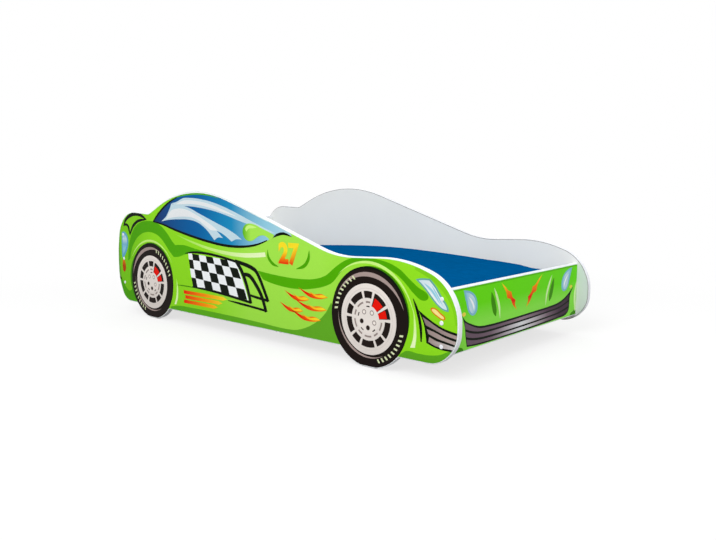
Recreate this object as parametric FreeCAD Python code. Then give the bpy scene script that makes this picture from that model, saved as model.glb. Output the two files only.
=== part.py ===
"""Racing-car bed for a child: shaped board sides, end panels, a roll of slats and a foam mattress.

Frame: +X runs to the nose of the car, +Y to its left side, +Z up.
The origin is on the floor, under the middle of the bed. All sizes are in millimetres.
"""

import FreeCAD
import Part
import math
import os

Vector = FreeCAD.Vector

# Mattress and the room around it
MATTRESS_LENGTH = 1400.0
MATTRESS_WIDTH = 700.0
MATTRESS_HEIGHT = 90.0
MATTRESS_END_GAP = 8.0
MATTRESS_SIDE_GAP = 8.0
MATTRESS_CORNER_RADIUS = 45.0
MATTRESS_CROWN = 9.0
MATTRESS_DRAW_IN = 5.0
MATTRESS_WAIST = 3.0
COVER_THICKNESS = 5.0
CORE_CLEARANCE = 0.5
MATTRESS_EASE = 4.0
PIPING_RADIUS = 2.0
PIPING_CLEARANCE = 0.3

# Boards, their edge strip and their printed film
BOARD = 18.0
EDGE_STRIP = 2.0
EDGE_ROUND = 1.5
FILM = 0.3
FILM_MARGIN = 2.5
FILM_END_CLEARANCE = 1.0

# Side panel outline. An ease is the share of a corner's shorter run that its rounding takes up
FRONT_OVERHANG = 39.0
REAR_OVERHANG = 31.0
SILL_HEIGHT = 45.0
SILL_TAIL_INSET = 37.0
SILL_NOSE_INSET = 54.0
SILL_CORNER_EASE = 0.43
TAIL_LOW_HEIGHT = 129.0
TAIL_LOW_EASE = 0.34
TAIL_HIGH_HEIGHT = 236.0
TAIL_HIGH_EASE = 0.43
BOOT_INSET = 31.0
BOOT_HEIGHT = 381.0
BOOT_EASE = 0.62
NOTCH_INSET = 216.0
NOTCH_HEIGHT = 374.0
NOTCH_EASE = 0.06
ROOF_INSET = 471.0
ROOF_HEIGHT = 496.0
ROOF_EASE = 0.73
COWL_INSET = 398.0
COWL_HEIGHT = 289.0
COWL_EASE = 0.27
FENDER_INSET = 167.0
FENDER_HEIGHT = 301.0
FENDER_EASE = 0.52
BROW_INSET = 32.0
BROW_HEIGHT = 255.0
BROW_EASE = 0.68
NOSE_HIGH_HEIGHT = 176.0
NOSE_HIGH_EASE = 0.28
NOSE_LOW_HEIGHT = 98.0
NOSE_LOW_EASE = 0.47

# Wheel-shaped feet of the side panels
WHEEL_LOBE_RADIUS = 134.0
WHEEL_CENTRE_HEIGHT = 133.5
REAR_WHEEL_INSET = 222.0
FRONT_WHEEL_INSET = 281.0
ARCH_CORNER_RADIUS = 8.0
GLIDE_LENGTH = 50.0
GLIDE_WIDTH = 15.0
GLIDE_THICKNESS = 2.5
GLIDE_ROUND = 1.0
GLIDE_PEG_RADIUS = 3.0
GLIDE_PEG_LENGTH = 16.0

# End panels
END_PANEL_BOTTOM = 67.5
FRONT_PANEL_HEIGHT = 164.5
REAR_PANEL_HEIGHT = 264.5

# Slatted base
RAIL_TOP = 122.0
RAIL_HEIGHT = 40.0
RAIL_DEPTH = 25.0
RAIL_END_CLEARANCE = 2.0
SLAT_COUNT = 12
SLAT_WIDTH = 68.0
SLAT_THICKNESS = 16.0
SLAT_ROUND = 2.0
SLAT_END_CLEARANCE = 3.0
SLAT_FIRST_GAP = 12.0
TAPE_WIDTH = 25.0
TAPE_THICKNESS = 1.5
TAPE_INSET = 110.0
TAPE_END_INSET = 10.0
STAPLE_WIDTH = 12.0
STAPLE_LEG = 8.0
STAPLE_WIRE = 1.2

# Fasteners
SCREWS_PER_JOINT = 3
FRONT_SCREW_INSET = 21.0
REAR_SCREW_INSET = 40.0
LOW_SCREW_LIFT = 5.5
SCREW_LENGTH = 50.0
SCREW_HEAD_RADIUS = 4.6
SCREW_HEAD_HEIGHT = 4.0
SCREW_SHANK_RADIUS = 3.5
SCREW_THREAD_RADIUS = 2.6
SCREW_TIP = 3.0
SCREW_SOCKET_RADIUS = 2.2
SCREW_SOCKET_DEPTH = 3.0
HOLE_CLEARANCE = 0.05
CAP_RADIUS = 5.6
CAP_HEIGHT = 1.4
CAP_RIM = 0.6
CAP_BEVEL = 1.6
CAP_PEG_LENGTH = 2.5
DOWEL_RADIUS = 4.0
DOWEL_LENGTH = 35.0
DOWEL_IN_SIDE = 11.0
DOWEL_CHAMFER = 1.0
RAIL_SCREWS = 6
RAIL_SCREW_END_INSET = 90.0
RAIL_SCREW_LENGTH = 36.0
RAIL_SCREW_RADIUS = 2.0
RAIL_SCREW_HEAD_RADIUS = 4.0
RAIL_SCREW_HEAD_HEIGHT = 2.5
RAIL_SCREW_SLOT_WIDTH = 1.0
RAIL_SCREW_SLOT_DEPTH = 1.0

# Sizes that follow from those above
INNER_LENGTH = MATTRESS_LENGTH + 2 * MATTRESS_END_GAP
INNER_WIDTH = MATTRESS_WIDTH + 2 * MATTRESS_SIDE_GAP
OUTER_WIDTH = INNER_WIDTH + 2 * BOARD
PANEL_LENGTH = INNER_LENGTH + 2 * BOARD + FRONT_OVERHANG + REAR_OVERHANG
NOSE_X = PANEL_LENGTH / 2
TAIL_X = -PANEL_LENGTH / 2
FRONT_PANEL_OUT = NOSE_X - FRONT_OVERHANG
FRONT_PANEL_IN = FRONT_PANEL_OUT - BOARD
REAR_PANEL_OUT = TAIL_X + REAR_OVERHANG
REAR_PANEL_IN = REAR_PANEL_OUT + BOARD
MIDDLE_X = (FRONT_PANEL_IN + REAR_PANEL_IN) / 2
SIDE_IN = INNER_WIDTH / 2
SIDE_OUT = OUTER_WIDTH / 2
SLAT_TOP = RAIL_TOP + SLAT_THICKNESS
SLAT_LENGTH = INNER_WIDTH - 2 * SLAT_END_CLEARANCE
SLAT_PITCH = (INNER_LENGTH - 2 * SLAT_FIRST_GAP - SLAT_WIDTH) / (SLAT_COUNT - 1)
TAPE_Y = SIDE_IN - TAPE_INSET
WHEEL_CENTRES = (TAIL_X + REAR_WHEEL_INSET, NOSE_X - FRONT_WHEEL_INSET)
SIDES = {"right": -1, "left": 1}


def box_between(low, high):
    """A box from its lowest corner to its highest."""
    size = [b - a for a, b in zip(low, high)]
    return Part.makeBox(*size, Vector(*low))


def evenly(first, last, count):
    """That many values from first to last."""
    return [first + (last - first) * i / (count - 1) for i in range(count)]


def rounded_wire(corners, place):
    """A closed wire of straight runs and tangent arcs. Each corner is (u, v, radius); place makes a point of (u, v)."""
    count = len(corners)
    edges = []
    ends = []
    for i, (u, v, radius) in enumerate(corners):
        before = corners[i - 1]
        after = corners[(i + 1) % count]
        into = unit(u - before[0], v - before[1])
        out = unit(after[0] - u, after[1] - v)
        half_turn = math.acos(max(-1.0, min(1.0, into[0] * out[0] + into[1] * out[1]))) / 2
        tangent = radius * math.tan(half_turn)
        start = (u - into[0] * tangent, v - into[1] * tangent)
        end = (u + out[0] * tangent, v + out[1] * tangent)
        towards = unit(out[0] - into[0], out[1] - into[1])
        sagitta = radius / math.cos(half_turn) - radius
        middle = (u + towards[0] * sagitta, v + towards[1] * sagitta)
        ends.append((start, middle, end))
    for i, (start, middle, end) in enumerate(ends):
        last_end = ends[i - 1][2]
        edges.append(Part.LineSegment(place(*last_end), place(*start)).toShape())
        edges.append(Part.Arc(place(*start), place(*middle), place(*end)).toShape())
    return Part.Wire(edges)


def unit(u, v):
    """The direction of (u, v) with length 1."""
    length = math.hypot(u, v)
    return (u / length, v / length)


def inset_corners(corners, inset):
    """The corners of the outline that lies inside the given one by inset. Corners run anticlockwise."""
    moved = []
    for i, (u, v, radius) in enumerate(corners):
        before = corners[i - 1]
        after = corners[(i + 1) % len(corners)]
        into = unit(u - before[0], v - before[1])
        out = unit(after[0] - u, after[1] - v)
        share = inset / (1 + into[0] * out[0] + into[1] * out[1])
        turns_left = into[0] * out[1] - into[1] * out[0] > 0
        new_radius = radius - inset if turns_left else radius + inset
        moved.append((u - (into[1] + out[1]) * share, v + (into[0] + out[0]) * share, new_radius))
    return moved


def side_corners():
    """The car's outline without its wheels, anticlockwise as seen from the right side: (x, z, radius)."""
    eased = [
        (TAIL_X + SILL_TAIL_INSET, SILL_HEIGHT, SILL_CORNER_EASE),
        (NOSE_X - SILL_NOSE_INSET, SILL_HEIGHT, SILL_CORNER_EASE),
        (NOSE_X, NOSE_LOW_HEIGHT, NOSE_LOW_EASE),
        (NOSE_X, NOSE_HIGH_HEIGHT, NOSE_HIGH_EASE),
        (NOSE_X - BROW_INSET, BROW_HEIGHT, BROW_EASE),
        (NOSE_X - FENDER_INSET, FENDER_HEIGHT, FENDER_EASE),
        (NOSE_X - COWL_INSET, COWL_HEIGHT, COWL_EASE),
        (TAIL_X + ROOF_INSET, ROOF_HEIGHT, ROOF_EASE),
        (TAIL_X + NOTCH_INSET, NOTCH_HEIGHT, NOTCH_EASE),
        (TAIL_X + BOOT_INSET, BOOT_HEIGHT, BOOT_EASE),
        (TAIL_X, TAIL_HIGH_HEIGHT, TAIL_HIGH_EASE),
        (TAIL_X, TAIL_LOW_HEIGHT, TAIL_LOW_EASE),
    ]
    return [(x, z, eased_radius(eased, i)) for i, (x, z, _) in enumerate(eased)]


def eased_radius(eased, i):
    """The radius of a corner whose rounding takes up its ease of the shorter of its two runs."""
    here, before, after = eased[i], eased[i - 1], eased[(i + 1) % len(eased)]
    into = (here[0] - before[0], here[1] - before[1])
    out = (after[0] - here[0], after[1] - here[1])
    turn = abs(math.atan2(into[0] * out[1] - into[1] * out[0], into[0] * out[0] + into[1] * out[1]))
    return here[2] * min(math.hypot(*into), math.hypot(*out)) / math.tan(turn / 2)


def side_slab(inset, y_low, y_high):
    """The side panel's shape, inset all round, from y_low to y_high. Its feet are the wheels, cut flat."""
    wire = rounded_wire(inset_corners(side_corners(), inset), lambda x, z: Vector(x, y_low, z))
    slab = Part.Face(wire).extrude(Vector(0, y_high - y_low, 0))
    radius = WHEEL_LOBE_RADIUS - inset
    for x in WHEEL_CENTRES:
        centre = Vector(x, y_low, WHEEL_CENTRE_HEIGHT)
        wheel = Part.makeCylinder(radius, y_high - y_low, centre, Vector(0, 1, 0))
        lower = box_between((x - radius, y_low, WHEEL_CENTRE_HEIGHT - radius), (x + radius, y_high, WHEEL_CENTRE_HEIGHT))
        slab = slab.fuse(wheel.common(lower))
    below = WHEEL_LOBE_RADIUS
    floor = box_between((TAIL_X, y_low, GLIDE_THICKNESS - below), (NOSE_X, y_high, GLIDE_THICKNESS + inset))
    slab = slab.cut(floor).removeSplitter()
    corners = [e for e in slab.Edges if is_arch_corner(e.CenterOfMass, inset)]
    return slab.makeFillet(ARCH_CORNER_RADIUS + inset, corners)



def is_arch_corner(point, inset):
    """Whether the point is on the inside corner between a wheel and the sill."""
    if abs(point.z - SILL_HEIGHT - inset) > EDGE_ROUND / 10:
        return False
    reach = [math.hypot(point.x - x, point.z - WHEEL_CENTRE_HEIGHT) for x in WHEEL_CENTRES]
    return min(abs(r - WHEEL_LOBE_RADIUS + inset) for r in reach) < EDGE_ROUND / 10


def across(side, inner, outer):
    """Lowest and highest y of what lies from inner to outer on that side of the bed."""
    return sorted((SIDES[side] * inner, SIDES[side] * outer))


def end_screw_heights(height, inset):
    """Heights of the screws that hold an end panel of that height."""
    low = END_PANEL_BOTTOM + inset + LOW_SCREW_LIFT
    return evenly(low, END_PANEL_BOTTOM + height - inset, SCREWS_PER_JOINT)


def between(heights):
    """The middles of neighbouring heights, where the dowels go."""
    return [(a + b) / 2 for a, b in zip(heights, heights[1:])]


FRONT_SCREWS = end_screw_heights(FRONT_PANEL_HEIGHT, FRONT_SCREW_INSET)
REAR_SCREWS = end_screw_heights(REAR_PANEL_HEIGHT, REAR_SCREW_INSET)
FRONT_JOINT_X = FRONT_PANEL_OUT - BOARD / 2
REAR_JOINT_X = REAR_PANEL_OUT + BOARD / 2
SCREW_PLACES = [(FRONT_JOINT_X, z) for z in FRONT_SCREWS] + [(REAR_JOINT_X, z) for z in REAR_SCREWS]
DOWEL_PLACES = [(FRONT_JOINT_X, z) for z in between(FRONT_SCREWS)]
DOWEL_PLACES += [(REAR_JOINT_X, z) for z in between(REAR_SCREWS)]
RAIL_SCREW_X = evenly(REAR_PANEL_IN + RAIL_SCREW_END_INSET, FRONT_PANEL_IN - RAIL_SCREW_END_INSET, RAIL_SCREWS)


def turned(profile, start, along):
    """A solid of revolution: profile is (radius, distance) from start in the direction along Y given by along."""
    points = [Vector(start.x + r, start.y + along * d, start.z) for r, d in profile]
    face = Part.Face(Part.makePolygon(points + points[:1]))
    return face.revolve(start, Vector(0, 1, 0), 360)


def corner_screw(side, x, z, grown=0.0):
    """A connector screw from the outside of a side panel into the edge of an end panel."""
    head, shank, thread = (r + grown for r in (SCREW_HEAD_RADIUS, SCREW_SHANK_RADIUS, SCREW_THREAD_RADIUS))
    profile = [(0, 0), (head, 0), (shank, SCREW_HEAD_HEIGHT), (shank, BOARD), (thread, BOARD)]
    profile += [(thread, SCREW_LENGTH - SCREW_TIP), (0, SCREW_LENGTH + grown)]
    screw = turned(profile, Vector(x, SIDES[side] * SIDE_OUT, z), -SIDES[side])
    if grown:
        return screw
    return screw.cut(socket_plug(side, x, z, SCREW_SOCKET_RADIUS, SCREW_SOCKET_DEPTH))


def socket_plug(side, x, z, radius, depth):
    """The round plug of that radius and depth in the head of a corner screw."""
    start = Vector(x, SIDES[side] * SIDE_OUT, z)
    return Part.makeCylinder(radius, depth, start, Vector(0, -SIDES[side], 0))


def screw_cap(side, x, z):
    """A cover cap on the film, with a bevelled rim and a peg that plugs into the screw's socket."""
    peg = SCREW_SOCKET_RADIUS - HOLE_CLEARANCE
    inner = -CAP_PEG_LENGTH - FILM
    profile = [(0, inner), (peg, inner), (peg, 0), (CAP_RADIUS, 0), (CAP_RADIUS, CAP_RIM)]
    profile += [(CAP_RADIUS - CAP_BEVEL, CAP_HEIGHT), (0, CAP_HEIGHT)]
    return turned(profile, Vector(x, SIDES[side] * (SIDE_OUT + FILM), z), SIDES[side])


def corner_dowel(side, x, z, grown=0.0):
    """A beech dowel, part in the side panel and part in the end panel's edge."""
    radius = DOWEL_RADIUS + grown
    small = radius - DOWEL_CHAMFER
    length = DOWEL_LENGTH + grown
    profile = [(0, -grown), (small, -grown), (radius, DOWEL_CHAMFER), (radius, length - DOWEL_CHAMFER)]
    profile += [(small, length), (0, length)]
    start = Vector(x, SIDES[side] * (SIDE_IN + DOWEL_IN_SIDE), z)
    return turned(profile, start, -SIDES[side])


def rail_screw(side, x, grown=0.0):
    """A countersunk wood screw through a rail into its side panel."""
    head = RAIL_SCREW_HEAD_RADIUS + grown
    shank = RAIL_SCREW_RADIUS + grown
    tip = RAIL_SCREW_LENGTH - 2 * RAIL_SCREW_RADIUS
    profile = [(0, 0), (head, 0), (shank, RAIL_SCREW_HEAD_HEIGHT), (shank, tip), (0, RAIL_SCREW_LENGTH + grown)]
    z = RAIL_TOP - RAIL_HEIGHT / 2
    start = Vector(x, SIDES[side] * (SIDE_IN - RAIL_DEPTH), z)
    screw = turned(profile, start, SIDES[side])
    if grown:
        return screw
    y_low, y_high = sorted((start.y, start.y + SIDES[side] * RAIL_SCREW_SLOT_DEPTH))
    half = RAIL_SCREW_SLOT_WIDTH / 2
    return screw.cut(box_between((x - head, y_low, z - half), (x + head, y_high, z + half)))


def glide(side, x):
    """A plastic floor glide under one wheel, with a peg up into the board."""
    y = SIDES[side] * (SIDE_IN + SIDE_OUT) / 2
    low = (x - GLIDE_LENGTH / 2, y - GLIDE_WIDTH / 2, 0)
    high = (x + GLIDE_LENGTH / 2, y + GLIDE_WIDTH / 2, GLIDE_THICKNESS)
    pad = box_between(low, high)
    upright = [e for e in pad.Edges if abs(e.tangentAt(e.FirstParameter).z) > 0.5]
    pad = pad.makeFillet(GLIDE_WIDTH / 4, upright)
    bottom = [e for e in pad.Edges if e.BoundBox.ZMax < GLIDE_ROUND / 2]
    pad = pad.makeChamfer(GLIDE_ROUND, bottom)
    return pad.fuse(glide_peg(side, x)).removeSplitter()


def glide_peg(side, x, grown=0.0):
    """The peg of a floor glide."""
    start = Vector(x, SIDES[side] * (SIDE_IN + SIDE_OUT) / 2, GLIDE_THICKNESS)
    return Part.makeCylinder(GLIDE_PEG_RADIUS + grown, GLIDE_PEG_LENGTH + grown, start)


def side_panel_pieces(side):
    """The board of one side, the strip round its edge and the film on its outer face."""
    y_low, y_high = across(side, SIDE_IN, SIDE_OUT)
    whole = side_slab(0, y_low, y_high)
    arrises = [e for e in whole.Edges if e.BoundBox.YLength < EDGE_ROUND / 10]
    whole = whole.makeFillet(EDGE_ROUND, arrises)
    board = side_slab(EDGE_STRIP, y_low, y_high)
    strip = whole.cut(board)
    film = side_slab(FILM_MARGIN, *across(side, SIDE_OUT, SIDE_OUT + FILM))
    pegs = [glide_peg(side, x, HOLE_CLEARANCE) for x in WHEEL_CENTRES]
    screws = [corner_screw(side, x, z, HOLE_CLEARANCE) for x, z in SCREW_PLACES]
    dowels = [corner_dowel(side, x, z, HOLE_CLEARANCE) for x, z in DOWEL_PLACES]
    rail_screws = [rail_screw(side, x, HOLE_CLEARANCE) for x in RAIL_SCREW_X]
    board = board.cut(Part.makeCompound(pegs + screws + dowels + rail_screws))
    strip = strip.cut(Part.makeCompound(pegs))
    head = SCREW_HEAD_RADIUS + HOLE_CLEARANCE
    y_film = y_low - FILM if SIDES[side] < 0 else y_high
    holes = [Part.makeCylinder(head, FILM, Vector(x, y_film, z), Vector(0, 1, 0)) for x, z in SCREW_PLACES]
    return board, strip, film.cut(Part.makeCompound(holes))


def end_panel_pieces(x_in, x_out, height):
    """An end panel's board, its top and bottom edge strips and the film on its outer face."""
    x_low, x_high = sorted((x_in, x_out))
    bottom, top = END_PANEL_BOTTOM, END_PANEL_BOTTOM + height
    board = box_between((x_low, -SIDE_IN, bottom + EDGE_STRIP), (x_high, SIDE_IN, top - EDGE_STRIP))
    holes = [corner_screw(side, x, z, HOLE_CLEARANCE) for side in SIDES for x, z in SCREW_PLACES]
    holes += [corner_dowel(side, x, z, HOLE_CLEARANCE) for side in SIDES for x, z in DOWEL_PLACES]
    board = board.cut(Part.makeCompound(holes))
    strips = []
    for z_low, z_face in ((bottom, bottom), (top - EDGE_STRIP, top)):
        strip = box_between((x_low, -SIDE_IN, z_low), (x_high, SIDE_IN, z_low + EDGE_STRIP))
        arrises = [e for e in strip.Edges if abs(e.CenterOfMass.z - z_face) < EDGE_ROUND / 10]
        arrises = [e for e in arrises if e.BoundBox.XLength < EDGE_ROUND]
        strips.append(strip.makeFillet(EDGE_ROUND, arrises))
    outward = FILM if x_out > x_in else -FILM
    film_x = sorted((x_out, x_out + outward))
    film_y = SIDE_IN - FILM_END_CLEARANCE
    film_low, film_high = bottom + FILM_MARGIN, top - FILM_MARGIN
    film = box_between((film_x[0], -film_y, film_low), (film_x[1], film_y, film_high))
    return board, strips[1], strips[0], film


def rail(side):
    """The batten along one side panel that carries the slats."""
    y_low, y_high = across(side, SIDE_IN - RAIL_DEPTH, SIDE_IN)
    x_low, x_high = REAR_PANEL_IN + RAIL_END_CLEARANCE, FRONT_PANEL_IN - RAIL_END_CLEARANCE
    batten = box_between((x_low, y_low, RAIL_TOP - RAIL_HEIGHT), (x_high, y_high, RAIL_TOP))
    holes = [rail_screw(side, x, HOLE_CLEARANCE) for x in RAIL_SCREW_X]
    return batten.cut(Part.makeCompound(holes))


def slat_centres():
    """The x of each slat's middle, from the rear."""
    first = REAR_PANEL_IN + SLAT_FIRST_GAP + SLAT_WIDTH / 2
    return [first + SLAT_PITCH * i for i in range(SLAT_COUNT)]


def staple(side, x):
    """A wire staple that holds the tape to a slat from below."""
    y = SIDES[side] * TAPE_Y
    z = RAIL_TOP - TAPE_THICKNESS
    half = STAPLE_WIDTH / 2
    wire = STAPLE_WIRE / 2
    back = box_between((x - half, y - wire, z - STAPLE_WIRE), (x + half, y + wire, z))
    for start in (x - half, x + half - STAPLE_WIRE):
        leg = box_between((start, y - wire, z), (start + STAPLE_WIRE, y + wire, z + STAPLE_LEG))
        back = back.fuse(leg)
    return back.removeSplitter()


def slat(x):
    """One pine slat with eased long edges and the staples' holes."""
    half = SLAT_WIDTH / 2
    board = box_between((x - half, -SLAT_LENGTH / 2, RAIL_TOP), (x + half, SLAT_LENGTH / 2, SLAT_TOP))
    long_edges = [e for e in board.Edges if e.BoundBox.YLength > SLAT_LENGTH / 2]
    board = board.makeFillet(SLAT_ROUND, long_edges)
    return board.cut(Part.makeCompound([staple(side, x) for side in SIDES]))


def slat_tape(side):
    """The webbing that joins the slats into a roll."""
    y = SIDES[side] * TAPE_Y
    centres = slat_centres()
    reach = SLAT_WIDTH / 2 - TAPE_END_INSET
    low = (centres[0] - reach, y - TAPE_WIDTH / 2, RAIL_TOP - TAPE_THICKNESS)
    high = (centres[-1] + reach, y + TAPE_WIDTH / 2, RAIL_TOP)
    return box_between(low, high).cut(Part.makeCompound([staple(side, x) for x in centres]))


def mattress_outline(inset, z):
    """The mattress's plan at height z, inset all round. Its sides draw in between the corners, tangent to them."""
    radius = MATTRESS_CORNER_RADIUS
    half_x = MATTRESS_LENGTH / 2 - inset - radius
    half_y = MATTRESS_WIDTH / 2 - inset - radius
    lean_x = drawn_in_lean(half_x)
    lean_y = drawn_in_lean(half_y)
    corners = []
    for x_way, y_way in ((1, 1), (-1, 1), (-1, -1), (1, -1)):
        centre = Vector(MIDDLE_X + x_way * half_x, y_way * half_y, z)
        on_end = Vector(x_way * math.cos(lean_y), -y_way * math.sin(lean_y), 0)
        on_corner = Vector(x_way, y_way, 0).normalize()
        on_side = Vector(-x_way * math.sin(lean_x), y_way * math.cos(lean_x), 0)
        points = [centre + way * radius for way in (on_end, on_corner, on_side)]
        corners.append(points if x_way * y_way > 0 else points[::-1])
    edges = []
    for i, points in enumerate(corners):
        edges.append(Part.Arc(*points).toShape())
        start, end = points[2], corners[(i + 1) % len(corners)][0]
        edges.append(drawn_in_side(start, end, (lean_x, lean_y)[i % 2]))
    return Part.Wire(edges)


def drawn_in_lean(half):
    """How far a side leans at its ends, in radians. half is from its middle to a corner's centre."""
    reach = (half**2 + MATTRESS_DRAW_IN**2) / (2 * MATTRESS_DRAW_IN)
    return math.asin(half / reach)


def drawn_in_side(start, end, lean):
    """The arc between two corners that leans in by lean at both ends."""
    middle = (start + end) / 2
    inward = (Vector(MIDDLE_X, 0, start.z) - middle).normalize()
    depth = start.distanceToPoint(end) / 2 * math.tan(lean / 2)
    return Part.Arc(start, middle + inward * depth, end).toShape()


def mattress_profile(shrink):
    """(inset, height) of the mattress's plans from bottom to top, for a body smaller by shrink all round."""
    low, high = SLAT_TOP + shrink, SLAT_TOP + MATTRESS_HEIGHT - shrink
    ease = MATTRESS_EASE
    plans = [(ease + shrink, low), (shrink, low + ease)]
    plans += [(MATTRESS_WAIST + shrink, (low + high) / 2), (shrink, high - ease), (ease + shrink, high)]
    plateau = MATTRESS_WIDTH / 2 - MATTRESS_CORNER_RADIUS - MATTRESS_DRAW_IN
    for share in (0.12, 0.3, 0.55, 0.85):
        rise = MATTRESS_CROWN * (1 - (1 - share) ** 2)
        plans.append((ease + shrink + plateau * share * 0.6, high + rise))
    return plans


def mattress_body(shrink):
    """The crowned mattress, smaller by shrink all round."""
    return Part.makeLoft([mattress_outline(inset, z) for inset, z in mattress_profile(shrink)], True, True)


def piping_ring(z):
    """The round piping sewn round the mattress's edge at that height, just outside the cover."""
    path = mattress_outline(-PIPING_RADIUS - PIPING_CLEARANCE, z)
    first = path.Edges[0]
    start = first.valueAt(first.FirstParameter)
    circle = Part.Wire(Part.makeCircle(PIPING_RADIUS, start, first.tangentAt(first.FirstParameter)))
    return path.makePipeShell([circle], True, True)


def mattress_pieces():
    """The foam core, the two halves of its cover and the piping in their seams."""
    outer = mattress_body(0)
    core = mattress_body(COVER_THICKNESS + CORE_CLEARANCE)
    shell = outer.cut(mattress_body(COVER_THICKNESS))
    seams = (SLAT_TOP + MATTRESS_EASE, SLAT_TOP + MATTRESS_HEIGHT - MATTRESS_EASE)
    piping = Part.makeCompound([piping_ring(z) for z in seams])
    seam = SLAT_TOP + MATTRESS_HEIGHT / 2
    reach = MATTRESS_LENGTH
    above = box_between((MIDDLE_X - reach, -reach, seam), (MIDDLE_X + reach, reach, seam + reach))
    return core, shell.common(above), shell.cut(above), piping


def build():
    """All the pieces of the bed, by name."""
    pieces = {}
    for side in SIDES:
        names = [f"{side}_side_panel", f"{side}_edge_strip", f"{side}_print_film"]
        pieces.update(zip(names, side_panel_pieces(side)))
        pieces[f"{side}_rail"] = rail(side)
        pieces[f"{side}_slat_tape"] = slat_tape(side)
        for end, x in zip(("rear", "front"), WHEEL_CENTRES):
            pieces[f"{end}_{side}_glide"] = glide(side, x)
    ends = {"front": (FRONT_PANEL_IN, FRONT_PANEL_OUT, FRONT_PANEL_HEIGHT)}
    ends["rear"] = (REAR_PANEL_IN, REAR_PANEL_OUT, REAR_PANEL_HEIGHT)
    for end, sizes in ends.items():
        names = [f"{end}_panel", f"{end}_top_strip", f"{end}_bottom_strip", f"{end}_print_film"]
        pieces.update(zip(names, end_panel_pieces(*sizes)))
    for i, x in enumerate(slat_centres(), 1):
        pieces[f"slat_{i:02d}"] = slat(x)
    groups = {
        "slat_staples": [staple(side, x) for side in SIDES for x in slat_centres()],
        "corner_screws": [corner_screw(side, x, z) for side in SIDES for x, z in SCREW_PLACES],
        "screw_caps": [screw_cap(side, x, z) for side in SIDES for x, z in SCREW_PLACES],
        "corner_dowels": [corner_dowel(side, x, z) for side in SIDES for x, z in DOWEL_PLACES],
        "rail_screws": [rail_screw(side, x) for side in SIDES for x in RAIL_SCREW_X],
    }
    for name, solids in groups.items():
        pieces[name] = Part.makeCompound(solids)
    names = ["mattress_core", "mattress_top_cover", "mattress_bottom_cover", "mattress_piping"]
    pieces.update(zip(names, mattress_pieces()))
    return pieces


os.makedirs("parts", exist_ok=True)
for name, shape in build().items():
    shape.exportStep(f"parts/{name}.step")
    print(name, len(shape.Solids), "solid(s)", "valid" if shape.isValid() else "NOT VALID", round(shape.Volume / 1000, 1), "cm3")
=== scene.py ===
"""A child's car bed: printed boards, slats and a blue mattress, dressed around its CAD frame."""

import math
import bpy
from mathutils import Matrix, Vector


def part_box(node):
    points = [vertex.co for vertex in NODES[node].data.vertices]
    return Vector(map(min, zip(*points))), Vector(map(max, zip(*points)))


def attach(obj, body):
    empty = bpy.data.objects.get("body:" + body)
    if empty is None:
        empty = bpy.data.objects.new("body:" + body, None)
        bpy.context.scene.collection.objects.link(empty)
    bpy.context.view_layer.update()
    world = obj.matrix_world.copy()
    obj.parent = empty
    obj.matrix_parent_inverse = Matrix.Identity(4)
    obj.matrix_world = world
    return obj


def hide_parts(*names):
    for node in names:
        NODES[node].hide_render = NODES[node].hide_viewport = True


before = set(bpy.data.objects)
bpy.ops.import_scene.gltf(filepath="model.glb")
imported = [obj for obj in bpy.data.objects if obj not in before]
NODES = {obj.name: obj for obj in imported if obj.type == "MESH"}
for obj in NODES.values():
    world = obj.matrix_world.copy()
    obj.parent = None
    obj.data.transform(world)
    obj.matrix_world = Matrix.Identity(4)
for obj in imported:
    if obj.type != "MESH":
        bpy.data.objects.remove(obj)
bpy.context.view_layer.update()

from types import SimpleNamespace

import bpy
from mathutils import Matrix, Vector
from mathutils.geometry import interpolate_bezier

bl_info = {
    "name": "Car bed",
    "version": (1, 0, 0),
    "blender": (4, 5, 0),
    "location": "View3D > Sidebar > Car bed",
    "description": "Finishes a printed car bed around its solids, with slats and a padded mattress",
    "category": "Object",
}

MM = 0.001
IMAGE_WIDTH = 716
FOCAL_PIXELS = 703.8
SENSOR_WIDTH = 36.0
SAME_POINT = 0.00001
TRIM_REACH = 0.004
BRUSH_TAPER = 0.4
TYRE_RADIUS = 131.8


def hex_colour(code):
    """Linear red, green and blue of a colour written as six hexadecimal digits."""
    shares = [int(code[i : i + 2], 16) / 255 for i in (0, 2, 4)]
    return tuple(c / 12.92 if c <= 0.04045 else ((c + 0.055) / 1.055) ** 2.4 for c in shares)


def colour_property(name, description, code):
    """A colour that a user can change."""
    return bpy.props.FloatVectorProperty(
        name=name, description=description, default=hex_colour(code), size=3, min=0, max=1,
        subtype="COLOR",
    )


def length_property(name, description, millimetres):
    """A length that a user can change."""
    return bpy.props.FloatProperty(
        name=name, description=description, default=millimetres * MM, min=0,
        unit="LENGTH", subtype="DISTANCE",
    )


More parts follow.
